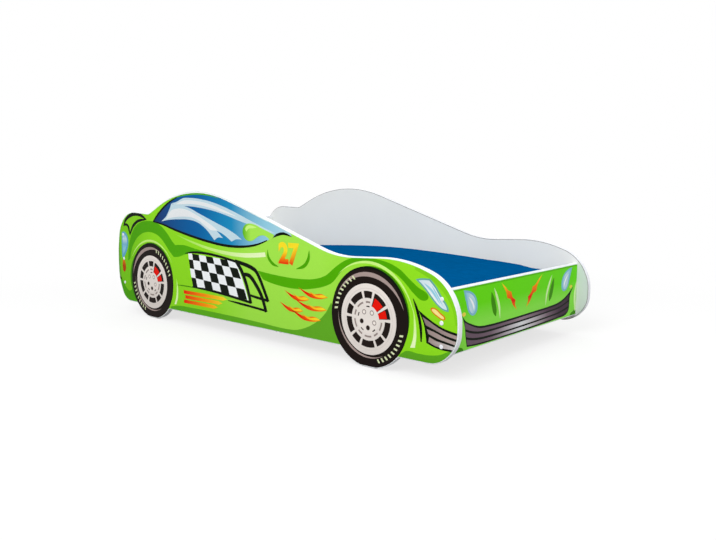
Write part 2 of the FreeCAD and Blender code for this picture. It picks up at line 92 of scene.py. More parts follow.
class PrintInks(bpy.types.PropertyGroup):
    """Colours of the printed films"""

    lime: colour_property("Lime", "Lit parts of the bodywork", "8DDA22")
    pale_lime: colour_property("Pale lime", "Soft highlights along the bodywork", "C6F27E")
    cream: colour_property("Cream", "Brightest highlights and tyre marks", "E6F6C0")
    leaf: colour_property("Leaf green", "Shaded bands over the wheels", "4EA904")
    spring: colour_property("Spring green", "Upper part of the end panels", "66DA12")
    mint: colour_property("Mint", "Lower part of the end panels", "88E34C")
    moss: colour_property("Moss green", "Deep shade at the sill and bumpers", "5DA424")
    line: colour_property("Line", "Drawn lines and window frames", "0C130B")
    navy: colour_property("Navy", "Glass at the rear", "1C2E66")
    glass: colour_property("Glass blue", "Glass in the middle", "085E9E")
    azure: colour_property("Azure", "Brighter glass ahead of the middle", "1A88BA")
    sky: colour_property("Sky blue", "Glass at the front and lamp lenses", "8FC6DA")
    shine: colour_property("Shine", "Reflections in the glass", "E4E8EA")
    tyre: colour_property("Tyre", "Tyre walls", "1B1412")
    scuff: colour_property("Tyre sheen", "Worn sheen on the tyre walls", "A2908B")
    rim: colour_property("Rim", "Wheel rims", "E0D8D2")
    slot_grey: colour_property("Rim shade", "Shaded rings and slots of the rims", "8F827D")
    red: colour_property("Red", "Brake calipers and the hot end of the flames", "E3180A")
    orange: colour_property("Orange", "Middle of the flames and stripes", "F58A12")
    yellow: colour_property("Yellow", "Tips of the flames and indicators", "F6DC2A")
    plum: colour_property("Plum", "Grille and bumper bars", "4C3648")
    mauve: colour_property("Mauve", "Light on the grille bars", "93808A")


class BedFinishes(bpy.types.PropertyGroup):
    """Colours of the boards, cloth, timber and metal"""

    board: colour_property("Board", "Melamine face of the boards", "E9EAE6")
    strip: colour_property("Edge strip", "Plastic strip on the boards' edges", "E4E7ED")
    cloth: colour_property("Mattress cloth", "Woven cover of the mattress", "00528A")
    piping: colour_property("Piping", "Piping on the mattress's edges", "004C82")
    pine: colour_property("Pine", "Slats and rails", "DDB987")
    pine_grain: colour_property("Pine grain", "Late wood and knots in the pine", "A9763F")
    beech: colour_property("Beech", "Dowels", "CDA274")
    webbing: colour_property("Webbing", "Tapes that join the slats", "DCD8CC")
    zinc: colour_property("Zinc", "Screws and staples", "B9B9B4")
    glide: colour_property("Glide", "Floor glides", "E6E6E6")


class BedSizes(bpy.types.PropertyGroup):
    """Sizes of the printed layers and the soft parts"""

    ink: length_property("Ink layer", "Height of one printed layer", 0.08)
    tyre: length_property("Tyre radius", "Printed tyre", TYRE_RADIUS)
    rim: length_property("Rim radius", "Printed rim", 95)
    voxel: length_property("Mattress mesh", "Grain of the mattress's mesh before smoothing", 10)
    swell: length_property("Mattress swell", "Most that the stuffing may move the cover", 5)
    crown: length_property("Mattress crown", "Rise of the mattress's middle over its edge", 2)
    arch: length_property("Mattress arch", "How far the top bows up between its ends", 28)
    draw_in: length_property("Mattress draw-in", "How far the sides draw in between the corners", 5)
    corner: length_property("Mattress corner", "Radius of the mattress's corners in plan", 45)
    piping: length_property("Piping radius", "Half the piping's thickness", 2.2)


class StudioSettings(bpy.types.PropertyGroup):
    """Camera and light"""

    azimuth: bpy.props.FloatProperty(
        name="Azimuth", description="Camera's turn from straight ahead of the right side",
        default=math.radians(41.42), subtype="ANGLE", unit="ROTATION",
    )
    elevation: bpy.props.FloatProperty(
        name="Elevation", description="Camera's height angle",
        default=math.radians(7.4), subtype="ANGLE", unit="ROTATION",
    )
    distance: length_property("Distance", "From the camera to the point it looks at", 2364.4)
    target: bpy.props.FloatVectorProperty(
        name="Target", description="Point that the camera looks at",
        default=(0.1125, 0, 0.1935), subtype="XYZ", unit="LENGTH",
    )
    focal_length: bpy.props.FloatProperty(
        name="Focal length", description="In picture widths", default=FOCAL_PIXELS / IMAGE_WIDTH
    )


class BedSettings(bpy.types.PropertyGroup):
    """Everything that can be changed on the bed"""

    inks: bpy.props.PointerProperty(type=PrintInks, name="Inks", description="Printed colours")
    finishes: bpy.props.PointerProperty(type=BedFinishes, name="Finishes", description="Other colours")
    sizes: bpy.props.PointerProperty(type=BedSizes, name="Sizes", description="Layers and soft parts")
    studio: bpy.props.PointerProperty(type=StudioSettings, name="Studio", description="Camera and light")


class Value:
    """A number that varies over a surface. Arithmetic on it adds Math nodes to its graph."""

    def __init__(self, graph, socket):
        self.graph = graph
        self.socket = socket

    def math(self, operation, first, second):
        return self.graph.node("ShaderNodeMath", {"operation": operation}, {0: first, 1: second})

    def __add__(self, other):
        return self.math("ADD", self, other)

    def __radd__(self, other):
        return self.math("ADD", other, self)

    def __sub__(self, other):
        return self.math("SUBTRACT", self, other)

    def __rsub__(self, other):
        return self.math("SUBTRACT", other, self)

    def __mul__(self, other):
        return self.math("MULTIPLY", self, other)

    def __rmul__(self, other):
        return self.math("MULTIPLY", other, self)


class Graph:
    """A node tree under construction."""

    def __init__(self, tree):
        self.tree = tree

    def node(self, kind, settings=None, inputs=None, output=0):
        """Adds a node with its settings and its sockets' values or links. Returns one of its outputs."""
        node = self.tree.nodes.new(kind)
        for key, value in (settings or {}).items():
            if key == "stops":
                self.set_stops(node.color_ramp, value)
            else:
                setattr(node, key, value)
        self.connect(node, inputs or {})
        return Value(self, node.outputs[output])

    def connect(self, node, inputs):
        """Sets or links a node's sockets."""
        for key, value in inputs.items():
            if isinstance(value, Value):
                self.tree.links.new(value.socket, node.inputs[key])
            else:
                node.inputs[key].default_value = value

    def set_stops(self, ramp, stops):
        """Gives a colour ramp its stops of position and colour."""
        while len(ramp.elements) > len(stops):
            ramp.elements.remove(ramp.elements[-1])
        while len(ramp.elements) < len(stops):
            ramp.elements.new(1.0)
        for element, (position, colour) in zip(ramp.elements, stops):
            element.position = position
            element.color = (*colour, 1)

    def seen(self):
        """1 for a ray from the camera or off a shiny surface, and 0 for any other."""
        rays = self.node("ShaderNodeLightPath").socket.node
        return Value(self, rays.outputs["Is Camera Ray"]) + Value(self, rays.outputs["Is Glossy Ray"])


class Finish(Graph):
    """A material under construction."""

    def __init__(self, name):
        self.material = bpy.data.materials.new(name)
        self.material.use_nodes = True
        super().__init__(self.material.node_tree)
        self.shader = self.tree.nodes["Principled BSDF"]

    def surface(self, **sockets):
        """Sets or links the shader's own sockets. Underscores in the names stand for spaces."""
        self.connect(self.shader, {key.replace("_", " "): value for key, value in sockets.items()})
        return self.material

    def place(self):
        """The point on the object, in metres."""
        return self.node("ShaderNodeTexCoord", output="Object")

    def axes(self, place):
        """The three numbers of a point."""
        split = self.node("ShaderNodeSeparateXYZ", None, {0: place}).socket.node
        return [Value(self, socket) for socket in split.outputs]

    def stretched(self, place, scale):
        """The point with each axis multiplied, to draw a pattern out along a direction."""
        return self.node("ShaderNodeVectorMath", {"operation": "MULTIPLY"}, {0: place, 1: scale})

    def noise(self, place, scale, detail=2.0):
        """Soft blotches from 0 to 1, that many to the metre."""
        return self.node("ShaderNodeTexNoise", None, {"Vector": place, "Scale": scale, "Detail": detail})

    def ramp(self, value, stops):
        """A colour from a number."""
        return self.node("ShaderNodeValToRGB", {"stops": stops}, {0: value})

    def mix(self, share, first, second, way="MIX"):
        """Two colours mixed."""
        first = first if isinstance(first, Value) else (*first, 1)
        second = second if isinstance(second, Value) else (*second, 1)
        settings = {"data_type": "RGBA", "blend_type": way}
        return self.node("ShaderNodeMix", settings, {0: share, 6: first, 7: second}, 2)

    def clouded(self, noise, colour, dark, light):
        """A colour that a noise takes from one share of itself to another."""
        return self.ramp(noise, [(0.3, shade(colour, dark)), (0.7, shade(colour, light))])

    def bump(self, height, depth):
        """A normal from a height of 0 to 1, that deep in metres."""
        return self.node("ShaderNodeBump", None, {"Height": height, "Distance": depth, "Strength": 1.0})


def shade(colour, share):
    """A colour made darker, or lighter over 1."""
    return tuple(min(1.0, c * share) for c in colour)


def blend(first, second, share=0.5):
    """A colour that far of the way from one ink to another."""
    return tuple(a + (b - a) * share for a, b in zip(first, second))


def plain(group):
    """A group's colours as plain red, green and blue."""
    return SimpleNamespace(**{name: tuple(getattr(group, name)) for name in type(group).__annotations__})


def use_material(obj, material):
    """Gives an object one material."""
    obj.data.materials.clear()
    obj.data.materials.append(material)


def satin(finish, place, colour):
    """Printed film's uneven, faint gloss over a colour."""
    peel = finish.noise(place, 160, 2)
    gloss = 0.3 + 0.1 * peel
    relief = finish.bump(peel, 0.0001)
    return finish.surface(Base_Color=colour, Roughness=gloss, Normal=relief, Specular_IOR_Level=0.03)


def ink_material():
    """Printed film: its colour is the mesh's ink attribute, with a faint grain under a clear gloss."""
    if "printed_ink" in bpy.data.materials:
        return bpy.data.materials["printed_ink"]
    finish = Finish("printed_ink")
    place = finish.place()
    ink = finish.node("ShaderNodeAttribute", {"attribute_name": "ink"})
    grain = finish.ramp(finish.noise(place, 700, 3), [(0.3, (0.93,) * 3), (0.7, (1.05,) * 3)])
    cast = finish.ramp(finish.noise(place, 9, 1), [(0.3, (0.97,) * 3), (0.7, (1.02,) * 3)])
    colour = finish.mix(1.0, finish.mix(1.0, ink, grain, "MULTIPLY"), cast, "MULTIPLY")
    return satin(finish, place, colour)


def body_material(name, axis, low, high, stops):
    """Printed bodywork: its green runs along one axis and deepens a little towards the bottom."""
    finish = Finish(name)
    place = finish.place()
    axes = finish.axes(place)
    along = (axes[axis] - low) * (1 / (high - low))
    colour = finish.ramp(along, stops)
    depth = finish.ramp(axes[2] * 2.0, [(0.1, (0.9, 0.92, 0.85)), (0.55, (1, 1, 1))])
    grain = finish.ramp(finish.noise(place, 700, 3), [(0.3, (0.95,) * 3), (0.7, (1.04,) * 3)])
    colour = finish.mix(1.0, finish.mix(1.0, colour, depth, "MULTIPLY"), grain, "MULTIPLY")
    return satin(finish, place, colour)


def plastic_material(name, colour, roughness, depth, lip=None):
    """Moulded plastic with a fine grain. lip is how far out a side strip's inner lip lies; a thin painted
    shadow line darkens it.
    """
    finish = Finish(name)
    place = finish.place()
    grain = finish.noise(place, 420, 3)
    cast = finish.clouded(finish.noise(place, 25, 2), colour, 0.95, 1.03)
    if lip is not None:
        # Painted shadow: a thin dark line along a side strip's inner lip, where the strip meets the board's
        # face
        out = finish.node("ShaderNodeMath", {"operation": "ABSOLUTE"}, {0: finish.axes(place)[1]})
        beyond = out - lip
        lip_shadow = finish.ramp(beyond * (1 / MM), [(0.5, (0.21, 0.2, 0.18)), (0.7, (1, 1, 1))])
        cast = finish.mix(1.0, cast, lip_shadow, "MULTIPLY")
    gloss = roughness - 0.06 + 0.12 * grain
    return finish.surface(Base_Color=cast, Roughness=gloss, Normal=finish.bump(grain, depth))


def board_material(colour):
    """Satin melamine face with its pearl grain, and a painted shade that greys it a little ahead of the
    front panel.
    """
    finish = Finish("white_melamine")
    place = finish.place()
    pearl = finish.noise(place, 260, 3)
    cloud = finish.noise(place, 3.5, 3)
    tint = finish.clouded(cloud, colour, 0.97, 1.01)
    # Painted shade: the board turns a little darker and bluer ahead of the front panel, in the corner's
    # shade
    nose = finish.ramp(finish.axes(place)[0], [(0.71, (1, 1, 1)), (0.735, (0.8, 0.84, 0.9))])
    tint = finish.mix(1.0, tint, nose, "MULTIPLY")
    relief = finish.bump(pearl, 0.00008)
    return finish.surface(Base_Color=tint, Roughness=0.38 + 0.12 * pearl, Normal=relief)


def timber_material(name, light, dark, along, ring):
    """Planed softwood: rings drawn out along the length, a few knots and a fibrous surface."""
    finish = Finish(name)
    place = finish.place()
    drawn = finish.stretched(place, tuple(0.05 if i == along else 1.0 for i in range(3)))
    rings = finish.node(
        "ShaderNodeTexWave",
        {"wave_type": "BANDS", "bands_direction": "DIAGONAL"},
        {"Vector": drawn, "Scale": ring, "Distortion": 5.0, "Detail": 3.0, "Detail Scale": 1.5},
        1,
    )
    combed = finish.stretched(place, tuple(6.0 if i == along else 420.0 for i in range(3)))
    fibre = finish.noise(combed, 1.0, 4)
    sparse = finish.stretched(place, (5.0, 5.0, 5.0))
    knots = finish.node("ShaderNodeTexVoronoi", None, {"Vector": sparse, "Scale": 1.0})
    knot = finish.ramp(knots, [(0.05, shade(dark, 0.55)), (0.11, (1, 1, 1))])
    colour = finish.mix(0.25 + 0.45 * rings * fibre, light, dark)
    colour = finish.mix(1.0, colour, knot, "MULTIPLY")
    relief = finish.bump(fibre + 0.4 * rings, 0.00025)
    return finish.surface(Base_Color=colour, Roughness=0.5 + 0.2 * fibre, Normal=relief)


def metal_material(colour):
    """Zinc plate with turning marks."""
    finish = Finish("zinc_plate")
    place = finish.place()
    marks = finish.noise(finish.stretched(place, (900.0, 60.0, 900.0)), 1.0, 3)
    tint = finish.clouded(finish.noise(place, 90, 2), colour, 0.9, 1.08)
    relief = finish.bump(marks, 0.00006)
    return finish.surface(Base_Color=tint, Metallic=1.0, Roughness=0.25 + 0.2 * marks, Normal=relief)


def weave_material(name, colour, pitch, depth):
    """Plain woven cloth: warp and weft that go over and under, with slubs."""
    finish = Finish(name)
    place = finish.place()
    axes = finish.axes(place)
    turn = math.tau / pitch
    warp = finish.node("ShaderNodeMath", {"operation": "SINE"}, {0: axes[0] * turn})
    weft = finish.node("ShaderNodeMath", {"operation": "SINE"}, {0: axes[1] * turn})
    weave = 0.5 + 0.5 * warp * weft
    slub = finish.noise(place, 45, 4)
    threads = 0.35 * weave + 0.65 * slub
    tone = finish.ramp(threads, [(0.25, shade(colour, 0.86)), (0.75, shade(colour, 1.12))])
    relief = finish.bump(weave + 0.6 * slub, depth)
    gloss = 0.78 + 0.15 * slub
    return finish.surface(Base_Color=tone, Roughness=gloss, Normal=relief, Specular_IOR_Level=0.0)


def dress(material, *endings):
    """Gives a material to each CAD node whose name ends in one of these ways."""
    for name, node in NODES.items():
        if name.endswith(endings):
            use_material(node, material)


def deselect_all():
    """Leaves nothing selected, in object mode."""
    if bpy.context.object and bpy.context.object.mode != "OBJECT":
        bpy.ops.object.mode_set(mode="OBJECT")
    bpy.ops.object.select_all(action="DESELECT")


def pick(*objects):
    """Selects just these objects and makes the first one active."""
    deselect_all()
    for obj in objects:
        obj.select_set(True)
    bpy.context.view_layer.objects.active = objects[0]


def close_up(obj, slices=()):
    """Joins a mesh's doubled points, slices it across and turns its faces outward."""
    pick(obj)
    bpy.ops.object.mode_set(mode="EDIT")
    bpy.ops.mesh.select_all(action="SELECT")
    bpy.ops.mesh.remove_doubles(threshold=SAME_POINT)
    for cut in slices:
        bpy.ops.mesh.select_all(action="SELECT")
        bpy.ops.mesh.bisect(plane_co=(cut * MM, 0, 0), plane_no=(1, 0, 0))
    bpy.ops.mesh.select_all(action="SELECT")
    bpy.ops.mesh.normals_make_consistent(inside=False)
    bpy.ops.object.mode_set(mode="OBJECT")


def flowing(points, closed=True, steps=7):
    """A smooth line through the points, in millimetres. A point with a third entry is a sharp corner."""
    spots = [Vector(point[:2]) for point in points]
    count = len(spots)
    sharp = [len(point) > 2 for point in points]
    if not closed:
        sharp[0] = sharp[-1] = True

    def heading(i):
        before, here, after = spots[i - 1], spots[i], spots[(i + 1) % count]
        return ((after - here).normalized() + (here - before).normalized()).normalized()

    line = []
    for i in range(count if closed else count - 1):
        j = (i + 1) % count
        run = spots[j] - spots[i]
        reach = run.length / 3
        leave = spots[i] + (run / 3 if sharp[i] else heading(i) * reach)
        arrive = spots[j] - (run / 3 if sharp[j] else heading(j) * reach)
        line += [p.to_2d() for p in interpolate_bezier(spots[i], leave, arrive, spots[j], steps + 1)[:-1]]
    if not closed:
        line.append(spots[-1])
    return line


def stroke(points, width, start=0.1, end=0.1):
    """The outline of a brush stroke along the points. start and end are its ends' shares of its width."""
    line = flowing(points, closed=False)
    left, right = [], []
    for i, here in enumerate(line):
        ahead = line[min(i + 1, len(line) - 1)] - line[max(i - 1, 0)]
        across = Vector((-ahead.y, ahead.x)).normalized()
        share = i / (len(line) - 1)
        swell = min(1.0, start + (1 - start) * math.sin(math.pi / 2 * min(1.0, share / BRUSH_TAPER)))
        swell *= min(1.0, end + (1 - end) * math.sin(math.pi / 2 * min(1.0, (1 - share) / BRUSH_TAPER)))
        left.append(here + across * width * swell / 2)
        right.append(here - across * width * swell / 2)
    return left + right[::-1]


def arc(centre, radius, start, end, pieces):
    """Points on a circle, from one angle in degrees to another."""
    turns = [math.radians(start + (end - start) * i / pieces) for i in range(pieces + 1)]
    return [Vector((centre[0] + radius * math.cos(t), centre[1] + radius * math.sin(t))) for t in turns]


def disc(centre, radius, pieces=72):
    """A circle's outline."""
    return arc(centre, radius, 0, 360, pieces)[:-1]


def sector(centre, inner, outer, start, end):
    """The outline of a stretch of a ring."""
    pieces = max(3, int(abs(end - start) / 4))
    return arc(centre, outer, start, end, pieces) + arc(centre, inner, end, start, pieces)


def crescent(centre, inner, outer, start, end, pieces=30):
    """The outline of a stretch of a ring that thins to a point at both ends."""
    points = arc(centre, outer, start, end, pieces)
    for i in range(1, pieces):
        turn = math.radians(end + (start - end) * i / pieces)
        radius = outer - (outer - inner) * math.sin(math.pi * i / pieces)
        points.append(Vector((centre[0] + radius * math.cos(turn), centre[1] + radius * math.sin(turn))))
    return points


def fade(start, end, *colours):
    """An ink that runs through the colours from one point to another."""
    start, run = Vector(start), Vector(end) - Vector(start)

    def ink(u, v):
        share = (Vector((u, v)) - start).dot(run) / run.length_squared
        place = max(0.0, min(1.0, share)) * (len(colours) - 1)
        low = min(int(place), len(colours) - 2)
        return tuple(a + (b - a) * (place - low) for a, b in zip(colours[low], colours[low + 1]))

    return ink


def facing(panel):
    """How a drawing's across, up and outward lie on a panel, and the board's face there."""
    low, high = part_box(f"{panel}_print_film")
    if panel == "right":
        return Matrix(((1, 0, 0, 0), (0, 0, -1, high.y), (0, 1, 0, 0), (0, 0, 0, 1)))
    if panel == "left":
        return Matrix(((-1, 0, 0, 0), (0, 0, 1, low.y), (0, 1, 0, 0), (0, 0, 0, 1)))
    if panel == "front":
        return Matrix(((0, 0, 1, low.x), (1, 0, 0, 0), (0, 1, 0, 0), (0, 0, 0, 1)))
    return Matrix(((0, 0, -1, high.x), (-1, 0, 0, 0), (0, 1, 0, 0), (0, 0, 0, 1)))


class Drawing:
    """A printed picture on one panel, made of thin flat inks in layers on top of the film.

    Its points are in millimetres, across the panel from the middle of the bed and up from the floor.
    """

    def __init__(self, panel, layer_height):
        self.panel = panel
        self.layer_height = layer_height
        # Each plate reaches a little into the layers above and below
        self.half_depth = layer_height * 0.6
        self.place = facing(panel)
        low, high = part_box(f"{panel}_print_film")
        self.film = min(high[i] - low[i] for i in range(3))
        self.plates = []

    def ink(self, outlines, colour, layer, trim=False, slices=()):
        """Adds flat shapes in one layer. trim cuts them at the film's edge, slices help an ink to run."""
        deselect_all()
        bpy.ops.curve.primitive_nurbs_path_add()
        plate = bpy.context.object
        curve = plate.data
        curve.splines.clear()
        curve.dimensions = "2D"
        curve.fill_mode = "BOTH"
        curve.extrude = self.half_depth
        for outline in outlines:
            spline = curve.splines.new("POLY")
            spline.points.add(len(outline) - 1)
            spline.use_cyclic_u = True
            for point, spot in zip(spline.points, outline):
                point.co = (spot[0] * MM, spot[1] * MM, 0, 1)
        bpy.ops.object.convert(target="MESH")
        self.add(plate, colour, layer, trim, slices)

    def shape(self, points, colour, layer, trim=False, slices=()):
        """Adds one smooth flat shape through the points."""
        self.ink([flowing(points)], colour, layer, trim, slices)

    def add(self, plate, colour, layer, trim=False, slices=()):
        """Takes in a flat mesh that lies in the drawing's plane."""
        close_up(plate, slices)
        if trim:
            self.trim(plate)
        paint = plate.data.color_attributes.new("ink", "FLOAT_COLOR", "POINT")
        for vertex, spot in zip(plate.data.vertices, paint.data):
            shade_here = colour(vertex.co.x / MM, vertex.co.y / MM) if callable(colour) else colour
            spot.color = (*shade_here, 1)
        height = self.film + (layer - 0.5) * self.layer_height
        plate.matrix_world = self.place @ Matrix.Translation((0, 0, height))
        pick(plate)
        bpy.ops.object.transform_apply(location=True, rotation=True, scale=True)
        use_material(plate, ink_material())
        self.plates.append(plate)

    def trim(self, plate):
        """Cuts a plate at the film's edge."""
        film = NODES[f"{self.panel}_print_film"]
        cutter = film.copy()
        cutter.data = film.data.copy()
        cutter.parent = None
        bpy.context.collection.objects.link(cutter)
        cutter.data.transform(self.place.inverted())
        for vertex in cutter.data.vertices:
            vertex.co.z = TRIM_REACH if vertex.co.z > self.film / 2 else -TRIM_REACH
        close_up(cutter)
        pick(plate)
        edge = plate.modifiers.new("film edge", "BOOLEAN")
        edge.operation = "INTERSECT"
        edge.solver = "EXACT"
        edge.object = cutter
        bpy.ops.object.modifier_apply(modifier=edge.name)
        bpy.data.objects.remove(cutter)

    def done(self, name):
        """Joins the inks into one piece of the panel."""
        pick(*self.plates)
        bpy.ops.object.join()
        piece = bpy.context.object
        self.plates = []
        return settle(piece, f"{self.panel}_{name}", "frame")


def settle(piece, name, body):
    """Names a finished piece, and ties it to its body."""
    piece.name = name
    piece.data.name = name
    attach(piece, body)
    return piece


def other_side(piece):
    """The mirror image of a right-hand piece, on the left."""
    twin = piece.copy()
    twin.data = piece.data.copy()
    twin.parent = None
    bpy.context.collection.objects.link(twin)
    pick(twin)
    twin.matrix_world = Matrix.Scale(-1, 4, (0, 1, 0))
    bpy.ops.object.transform_apply(location=True, rotation=True, scale=True)
    bpy.ops.object.mode_set(mode="EDIT")
    bpy.ops.mesh.select_all(action="SELECT")
    bpy.ops.mesh.normals_make_consistent(inside=False)
    bpy.ops.object.mode_set(mode="OBJECT")
    return settle(twin, piece.name.replace("right_", "left_"), "frame")


def side_drawing(context):
    """A new drawing on the right side."""
    return Drawing("right", context.scene.car_bed.sizes.ink)


class CARBED_OT_stage(bpy.types.Operator):
    """Sets the camera, the pale floor and the soft light"""

    bl_idname = "carbed.stage"
    bl_label = "Stage"
    floor_size = 60
    # How far out the floor starts to turn white and is white, and how white it starts
    floor_turn = (0.9, 2.0)
    floor_white = 0.72
    surround_light = 0.6
    lamp_aim = (0, 0, 0.2)
    # Each lamp's place, power and size
    lamps = {
        "key": ((1.2, -3.4, 2.7), 138, 2.6),
        "fill": ((3.8, 0.2, 1.8), 46, 2.4),
        "top": ((-0.4, 0.2, 3.6), 12, 3.0),
        "back": ((-3.2, 2.6, 2.4), 16, 2.4),
    }

    def execute(self, context):
        self.set_camera(context, context.scene.car_bed.studio)
        self.lay_floor()
        self.set_world(context)
        for name, (place, power, size) in self.lamps.items():
            self.add_lamp(name, Vector(place), power, size)
        context.scene.view_settings.view_transform = "Standard"
        return {"FINISHED"}

    def set_camera(self, context, studio):
        flat = math.cos(studio.elevation)
        turn = studio.azimuth
        back = Vector((math.sin(turn) * flat, -math.cos(turn) * flat, math.sin(studio.elevation)))
        deselect_all()
        bpy.ops.object.camera_add(location=Vector(studio.target) + back * studio.distance)
        camera = context.object
        camera.rotation_euler = (-back).to_track_quat("-Z", "Y").to_euler()
        camera.data.sensor_fit = "HORIZONTAL"
        camera.data.sensor_width = SENSOR_WIDTH
        camera.data.lens = studio.focal_length * SENSOR_WIDTH
        context.scene.camera = camera

    def lay_floor(self):
        """A pale floor that turns to the white of the backdrop away from the bed, and keeps its shadow."""
        deselect_all()
        bpy.ops.mesh.primitive_plane_add(size=self.floor_size)
        floor = bpy.context.object
        floor.name = "floor"
        finish = Finish("pale_floor")
        seen = finish.seen()
        pale = finish.mix(seen, (0.2,) * 3, (0.92,) * 3)
        finish.surface(Base_Color=pale, Roughness=0.9, Specular_IOR_Level=0.1)
        away = finish.node("ShaderNodeVectorMath", {"operation": "LENGTH"}, {0: finish.place()}, "Value")
        settings = {"interpolation_type": "SMOOTHSTEP"}
        near, far = self.floor_turn
        sockets = {"Value": away, "From Min": near, "From Max": far, "To Min": self.floor_white}
        share = finish.node("ShaderNodeMapRange", settings, {**sockets, "To Max": 1.0})
        white = finish.node("ShaderNodeEmission")
        plain_floor = Value(finish, finish.shader.outputs[0])
        both = finish.node("ShaderNodeMixShader", None, {0: share * seen, 1: plain_floor, 2: white})
        finish.connect(finish.tree.nodes["Material Output"], {0: both})
        use_material(floor, finish.material)

    def set_world(self, context):
        """An even white surround that shows as white and lights a little more softly."""
        world = bpy.data.worlds.new("studio")
        context.scene.world = world
        world.use_nodes = True
        graph = Graph(world.node_tree)
        sockets = {"Value": graph.seen(), "To Min": self.surround_light, "To Max": 1.0}
        level = graph.node("ShaderNodeMapRange", None, sockets)
        graph.connect(graph.tree.nodes["Background"], {"Color": (1, 1, 1, 1), "Strength": level})

    def add_lamp(self, name, place, power, size):
        deselect_all()
        bpy.ops.object.light_add(type="AREA", location=place)
        lamp = bpy.context.object
        lamp.name = name
        lamp.data.energy = power
        lamp.data.size = size
        lamp.rotation_euler = (Vector(self.lamp_aim) - place).to_track_quat("-Z", "Y").to_euler()


class CARBED_OT_boards(bpy.types.Operator):
    """Finishes the boards, their edge strips and the screw caps"""

    bl_idname = "carbed.boards"
    bl_label = "Boards and edges"

    def execute(self, context):
        finishes = plain(context.scene.car_bed.finishes)
        board = board_material(finishes.board)
        strip = plastic_material("edge_strip", finishes.strip, 0.34, 0.00004)
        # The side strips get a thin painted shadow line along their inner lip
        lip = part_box("left_edge_strip")[0].y
        side_strip = plastic_material("side_edge_strip", finishes.strip, 0.34, 0.00004, lip)
        cap = plastic_material("cap_plastic", finishes.strip, 0.3, 0.00003)
        dress(board, "_panel")
        dress(strip, "_top_strip", "_bottom_strip")
        dress(side_strip, "_edge_strip")
        dress(cap, "screw_caps")
        return {"FINISHED"}


class CARBED_OT_base(bpy.types.Operator):
    """Finishes the rails, the slats and the tapes that join them"""

    bl_idname = "carbed.base"
    bl_label = "Slatted base"

    def execute(self, context):
        finishes = plain(context.scene.car_bed.finishes)
        light, dark = finishes.pine, finishes.pine_grain
        across = timber_material("pine_slat", light, dark, 1, 60.0)
        along = timber_material("pine_rail", light, dark, 0, 60.0)
        tape = weave_material("slat_webbing", finishes.webbing, 0.003, 0.0004)
        dress(along, "_rail")
        dress(tape, "_slat_tape")
        for name, node in NODES.items():
            if name.startswith("slat_") and name != "slat_staples":
                use_material(node, across)
        return {"FINISHED"}


class CARBED_OT_hardware(bpy.types.Operator):
    """Finishes the screws, staples, dowels and floor glides"""

    bl_idname = "carbed.hardware"
    bl_label = "Hardware"

    def execute(self, context):
        finishes = plain(context.scene.car_bed.finishes)
        zinc = metal_material(finishes.zinc)
        beech = timber_material("beech", finishes.beech, shade(finishes.beech, 0.75), 1, 120.0)
        glide = plastic_material("glide_plastic", finishes.glide, 0.5, 0.0001)
        dress(zinc, "corner_screws", "rail_screws", "slat_staples")
        dress(beech, "corner_dowels")
        dress(glide, "_glide")
        return {"FINISHED"}


class CARBED_OT_bodywork(bpy.types.Operator):
    """Prints the green bodywork on the films"""

    bl_idname = "carbed.bodywork"
    bl_label = "Bodywork"

    def execute(self, context):
        inks = plain(context.scene.car_bed.inks)
        lime, pale, leaf = inks.lime, inks.pale_lime, inks.leaf
        bright, dusk = blend(lime, pale, 0.28), blend(lime, leaf, 0.45)
        low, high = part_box("right_print_film")
        stops = [(0.0, dusk), (0.06, dusk), (0.16, lime), (0.36, lime)]
        stops += [(0.5, bright), (0.7, bright), (0.86, lime), (1.0, lime)]
        side = body_material("side_bodywork", 0, low.x, high.x, stops)
        dress(side, "right_print_film", "left_print_film")
        spring, mint = inks.spring, inks.mint
        stops = [(0.0, mint), (0.4, mint), (0.7, spring), (1.0, spring)]
        for panel in ("front", "rear"):
            low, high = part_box(f"{panel}_print_film")
            end = body_material(f"{panel}_bodywork", 2, low.z, high.z, stops)
            dress(end, f"{panel}_print_film")
        return {"FINISHED"}


